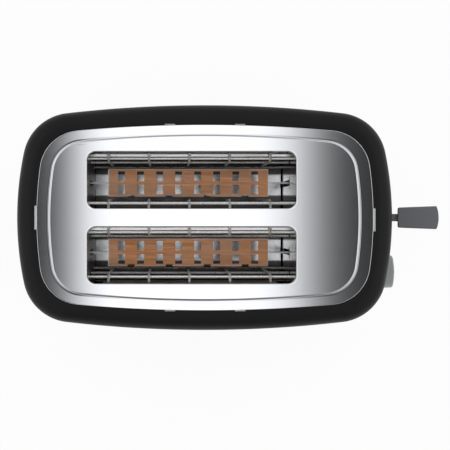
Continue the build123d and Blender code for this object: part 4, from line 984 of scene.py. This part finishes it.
def slot_band_group():
    """Mask under each slot: 1 as far as Inner from its middle line, falling straight to 0 at Outer.

    Along X it ends at Reach from the middle of the racks, and clouds lower it to Patchy in places.
    """
    tree, start, end = group("slot_band", ["Inner", "Outer", "Patchy", "Reach"], ["Mask"])
    place = tree.nodes.new("ShaderNodeTexCoord").outputs["Object"]
    parts = tree.nodes.new("ShaderNodeSeparateXYZ")
    tree.links.new(place, parts.inputs["Vector"])
    across = maths(tree, "SUBTRACT", maths(tree, "ABSOLUTE", parts.outputs["Y"]), SLOT_Y * MM)
    along = maths(tree, "SUBTRACT", parts.outputs["X"], RACK_MIDDLE * MM)
    off_line = maths(tree, "ABSOLUTE", across)
    fade = spread(tree, off_line, 1.0, 0.0, start.outputs["Inner"], start.outputs["Outer"])
    patches = spread(tree, noise(tree, place, 30.0, 3.0), start.outputs["Patchy"], 1.0)
    within = maths(tree, "LESS_THAN", maths(tree, "ABSOLUTE", along), start.outputs["Reach"])
    mask = maths(tree, "MULTIPLY", maths(tree, "MULTIPLY", fade, patches), within)
    tree.links.new(mask, end.inputs["Mask"])
    return tree


SLOT_BAND = slot_band_group()


def add_band(material, socket, color, **values):
    """Lay an even colour over a finish: inside the mask ("B") or outside it ("A")."""
    tree = material.node_tree
    shader = tree.nodes["Principled BSDF"]
    steel = shader.inputs["Base Color"].links[0].from_socket
    mix = tree.nodes.new("ShaderNodeMix")
    mix.data_type = "RGBA"
    mix.inputs[socket].default_value = (*color, 1.0)
    tree.links.new(steel, mix.inputs["A" if socket == "B" else "B"])
    tree.links.new(use_group(tree, SLOT_BAND, **values).outputs["Mask"], mix.inputs["Factor"])
    tree.links.new(mix.outputs["Result"], shader.inputs["Base Color"])
    # For the rack's rim and the tray, the colour laid on here is painted shade, not a heat mark.
    print("heat mark on", material.name)


rack, tray = FINISHES["rack_steel"], FINISHES["tray_steel"]
add_band(rack, "B", BRONZE, Inner=0.0094, Outer=0.0099, Patchy=0.85, Reach=RACK_REACH * MM)
# Painted shade: the rack's rim is darkened to stand for the shadowed gap beside the rack.
add_band(rack, "A", RIM_PAINTED_SHADE, Inner=0.0096, Outer=0.0101, Patchy=0.8, Reach=1.0)
# Painted shade: the tray is darkened outside a band below each slot to stand for the shadow beside the
# guards.
add_band(tray, "A", TRAY_PAINTED_SHADE, Inner=0.0074, Outer=0.0086, Patchy=1.0, Reach=1.0)

# %% [markdown]
# Every piece takes the finish of its material slot, with two exceptions: the end plate towards the lever is
# a bright zinc sheet, a painted light that makes it lighter than the other end plate as light falling into
# the slot would, and the clips are plated, not polished.

# %% Dress the pieces
SLOT_OF = {entry["node"]: entry["material_slot"] for entry in frame["record"]["subparts"]}
MADE = {
    "black_housing": [housing],
    "polished_plate": [steel_plate],
    "chassis_steel": [clips],
    "dial_plastic": [dial],
    "grey_plastic": [knob, button],
    "guard_wire": [bpy.data.objects[f"{place}_wires"] for place in GUARDS],
    "foot_rubber": [bpy.data.objects[f"foot_pad_{name}"] for name in FEET],
    "reflector_steel": [bpy.data.objects[f"{place}_folded_strip"] for place in ("near", "far")],
}


def dress(piece, material):
    """Give the piece this one material."""
    piece.data.materials.clear()
    piece.data.materials.append(material)


for node, piece in frame["nodes"].items():
    dress(piece, FINISHES[SLOT_OF[node]])
# Painted light: the end plate towards the lever takes the lighter zinc.
dress(frame["nodes"]["front_end_plate"], PAINTED_LIGHT_ZINC)
for finish, pieces in MADE.items():
    for piece in pieces:
        dress(piece, FINISHES[finish])
print("dressed nodes:", len(frame["nodes"]), "new pieces:", sum(map(len, MADE.values())))

# %% [markdown]
# The floor is a plain white sheet. Seen by the camera or in a reflection, most of its light is its own,
# so that it stays as white as paper, while the rest still takes the shadow of the toaster.

# %% Floor
# Half the width and the depth below the feet in metres, then the share of its own light
FLOOR_REACH = 6.0
FLOOR_DROP = 0.0002
FLOOR_GLOW = 0.92


def white_floor():
    """Level square just under the feet."""
    mesh = bpy.data.meshes.new("floor")
    corners = np.array([(-1, -1, 0), (1, -1, 0), (1, 1, 0), (-1, 1, 0)]) * FLOOR_REACH
    mesh.from_pydata((corners - [0, 0, FLOOR_DROP]).tolist(), [], [(0, 1, 2, 3)])
    floor = bpy.data.objects.new("floor", mesh)
    bpy.context.scene.collection.objects.link(floor)
    material, tree, shader = base_material("white_sheet", (0.96, 0.96, 0.96))
    shader.inputs["Roughness"].default_value = 0.9
    shader.inputs["Specular IOR Level"].default_value = 0.1
    rays = tree.nodes.new("ShaderNodeLightPath")
    seen = rays.outputs["Is Camera Ray"]
    for title in ("Is Glossy Ray", "Is Transmission Ray"):
        seen = maths(tree, "MAXIMUM", seen, rays.outputs[title])
    glow = tree.nodes.new("ShaderNodeEmission")
    mix = tree.nodes.new("ShaderNodeMixShader")
    tree.links.new(maths(tree, "MULTIPLY", seen, FLOOR_GLOW), mix.inputs["Fac"])
    tree.links.new(shader.outputs["BSDF"], mix.inputs[1])
    tree.links.new(glow.outputs["Emission"], mix.inputs[2])
    tree.links.new(mix.outputs["Shader"], tree.nodes["Material Output"].inputs["Surface"])
    dress(floor, material)


white_floor()
print("floor", 2 * FLOOR_REACH, "m wide")

# %% [markdown]
# A polished top shows the room above it more than its own colour. The white middle of the steel is a
# wide lamp straight above, and its grey ends are the lamp's soft edges and the dark ceiling round it.
# So the room is a world whose brightness follows the direction: the lamp first, then the walls.

# %% World
# For each end: sign of X, sine of the angle at which the lamp's edge lies, and its softness
LAMP_EDGES = ((1.0, 0.1455, 0.0205), (-1.0, 0.1395, 0.0148))
LAMP_STRENGTH = 1.6
# Brightness of the lamp over |y|, and of the walls from the zenith (0) to the horizon (1)
LAMP_RUN = [(0.0, 1.0), (0.35, 1.0), (0.6, 0.0), (1.0, 0.0)]
WALLS = [(0.0, 0.024), (0.28, 0.03), (0.4, 0.55), (0.5, 0.85), (0.62, 0.56), (1.0, 0.44)]
WALL_STRENGTH = 2.1
SIDE_BASE, SIDE_ALONG, SIDE_FAR = 0.42, 0.85, 0.24


def brightness_curve(tree, value, points):
    """Brightness along a value from a list of (position, brightness) points."""
    node = tree.nodes.new("ShaderNodeValToRGB")
    elements = node.color_ramp.elements
    for index, (position, brightness) in enumerate(points):
        element = elements[index] if index < 2 else elements.new(position)
        element.position = position
        element.color = (brightness, brightness, brightness, 1.0)
    tree.links.new(value, node.inputs["Fac"])
    return node.outputs["Color"]


def room_world():
    """World shader: lamp(x) * run(|y|) * strength + walls(distance from the zenith) * side * strength.

    The lamp fades at each end as 1 / (1 + exp((x - edge) / softness)), x being a sine. The walls' side
    is base + along * |x| + far * y, so they are brighter along X and darker towards -Y.
    """
    world = bpy.data.worlds.new("room")
    world.use_nodes = True
    tree = world.node_tree
    tree.nodes.clear()
    direction = tree.nodes.new("ShaderNodeTexCoord").outputs["Generated"]
    parts = tree.nodes.new("ShaderNodeSeparateXYZ")
    tree.links.new(direction, parts.inputs["Vector"])
    x, y, z = (parts.outputs[axis] for axis in "XYZ")
    run = brightness_curve(tree, maths(tree, "ABSOLUTE", y), LAMP_RUN)
    lamp = maths(tree, "MULTIPLY", run, maths(tree, "GREATER_THAN", z, 0.0))
    for sign, edge, softness in LAMP_EDGES:
        reach = maths(tree, "SUBTRACT", maths(tree, "MULTIPLY", x, sign), edge)
        growth = maths(tree, "EXPONENT", maths(tree, "DIVIDE", reach, softness))
        lamp = maths(tree, "DIVIDE", lamp, maths(tree, "ADD", growth, 1.0))
    off_zenith = maths(tree, "DIVIDE", maths(tree, "ARCCOSINE", z), math.pi / 2)
    along = maths(tree, "MULTIPLY", maths(tree, "ABSOLUTE", x), SIDE_ALONG)
    side = maths(tree, "ADD", along, maths(tree, "MULTIPLY", y, SIDE_FAR))
    side = maths(tree, "ADD", side, SIDE_BASE)
    walls = maths(tree, "MULTIPLY", brightness_curve(tree, off_zenith, WALLS), side)
    lamp = maths(tree, "MULTIPLY", lamp, LAMP_STRENGTH)
    walls = maths(tree, "MULTIPLY", walls, WALL_STRENGTH)
    background = tree.nodes.new("ShaderNodeBackground")
    background.inputs["Color"].default_value = (1.0, 1.0, 1.0, 1.0)
    tree.links.new(maths(tree, "ADD", lamp, walls), background.inputs["Strength"])
    output = tree.nodes.new("ShaderNodeOutputWorld")
    tree.links.new(background.outputs["Background"], output.inputs["Surface"])
    bpy.context.scene.world = world


room_world()
print("lamp strength", LAMP_STRENGTH, "wall strength", WALL_STRENGTH)

# %% [markdown]
# The last cell keeps the plain view transform.

# %% Finish
bpy.context.scene.view_settings.view_transform = "Standard"
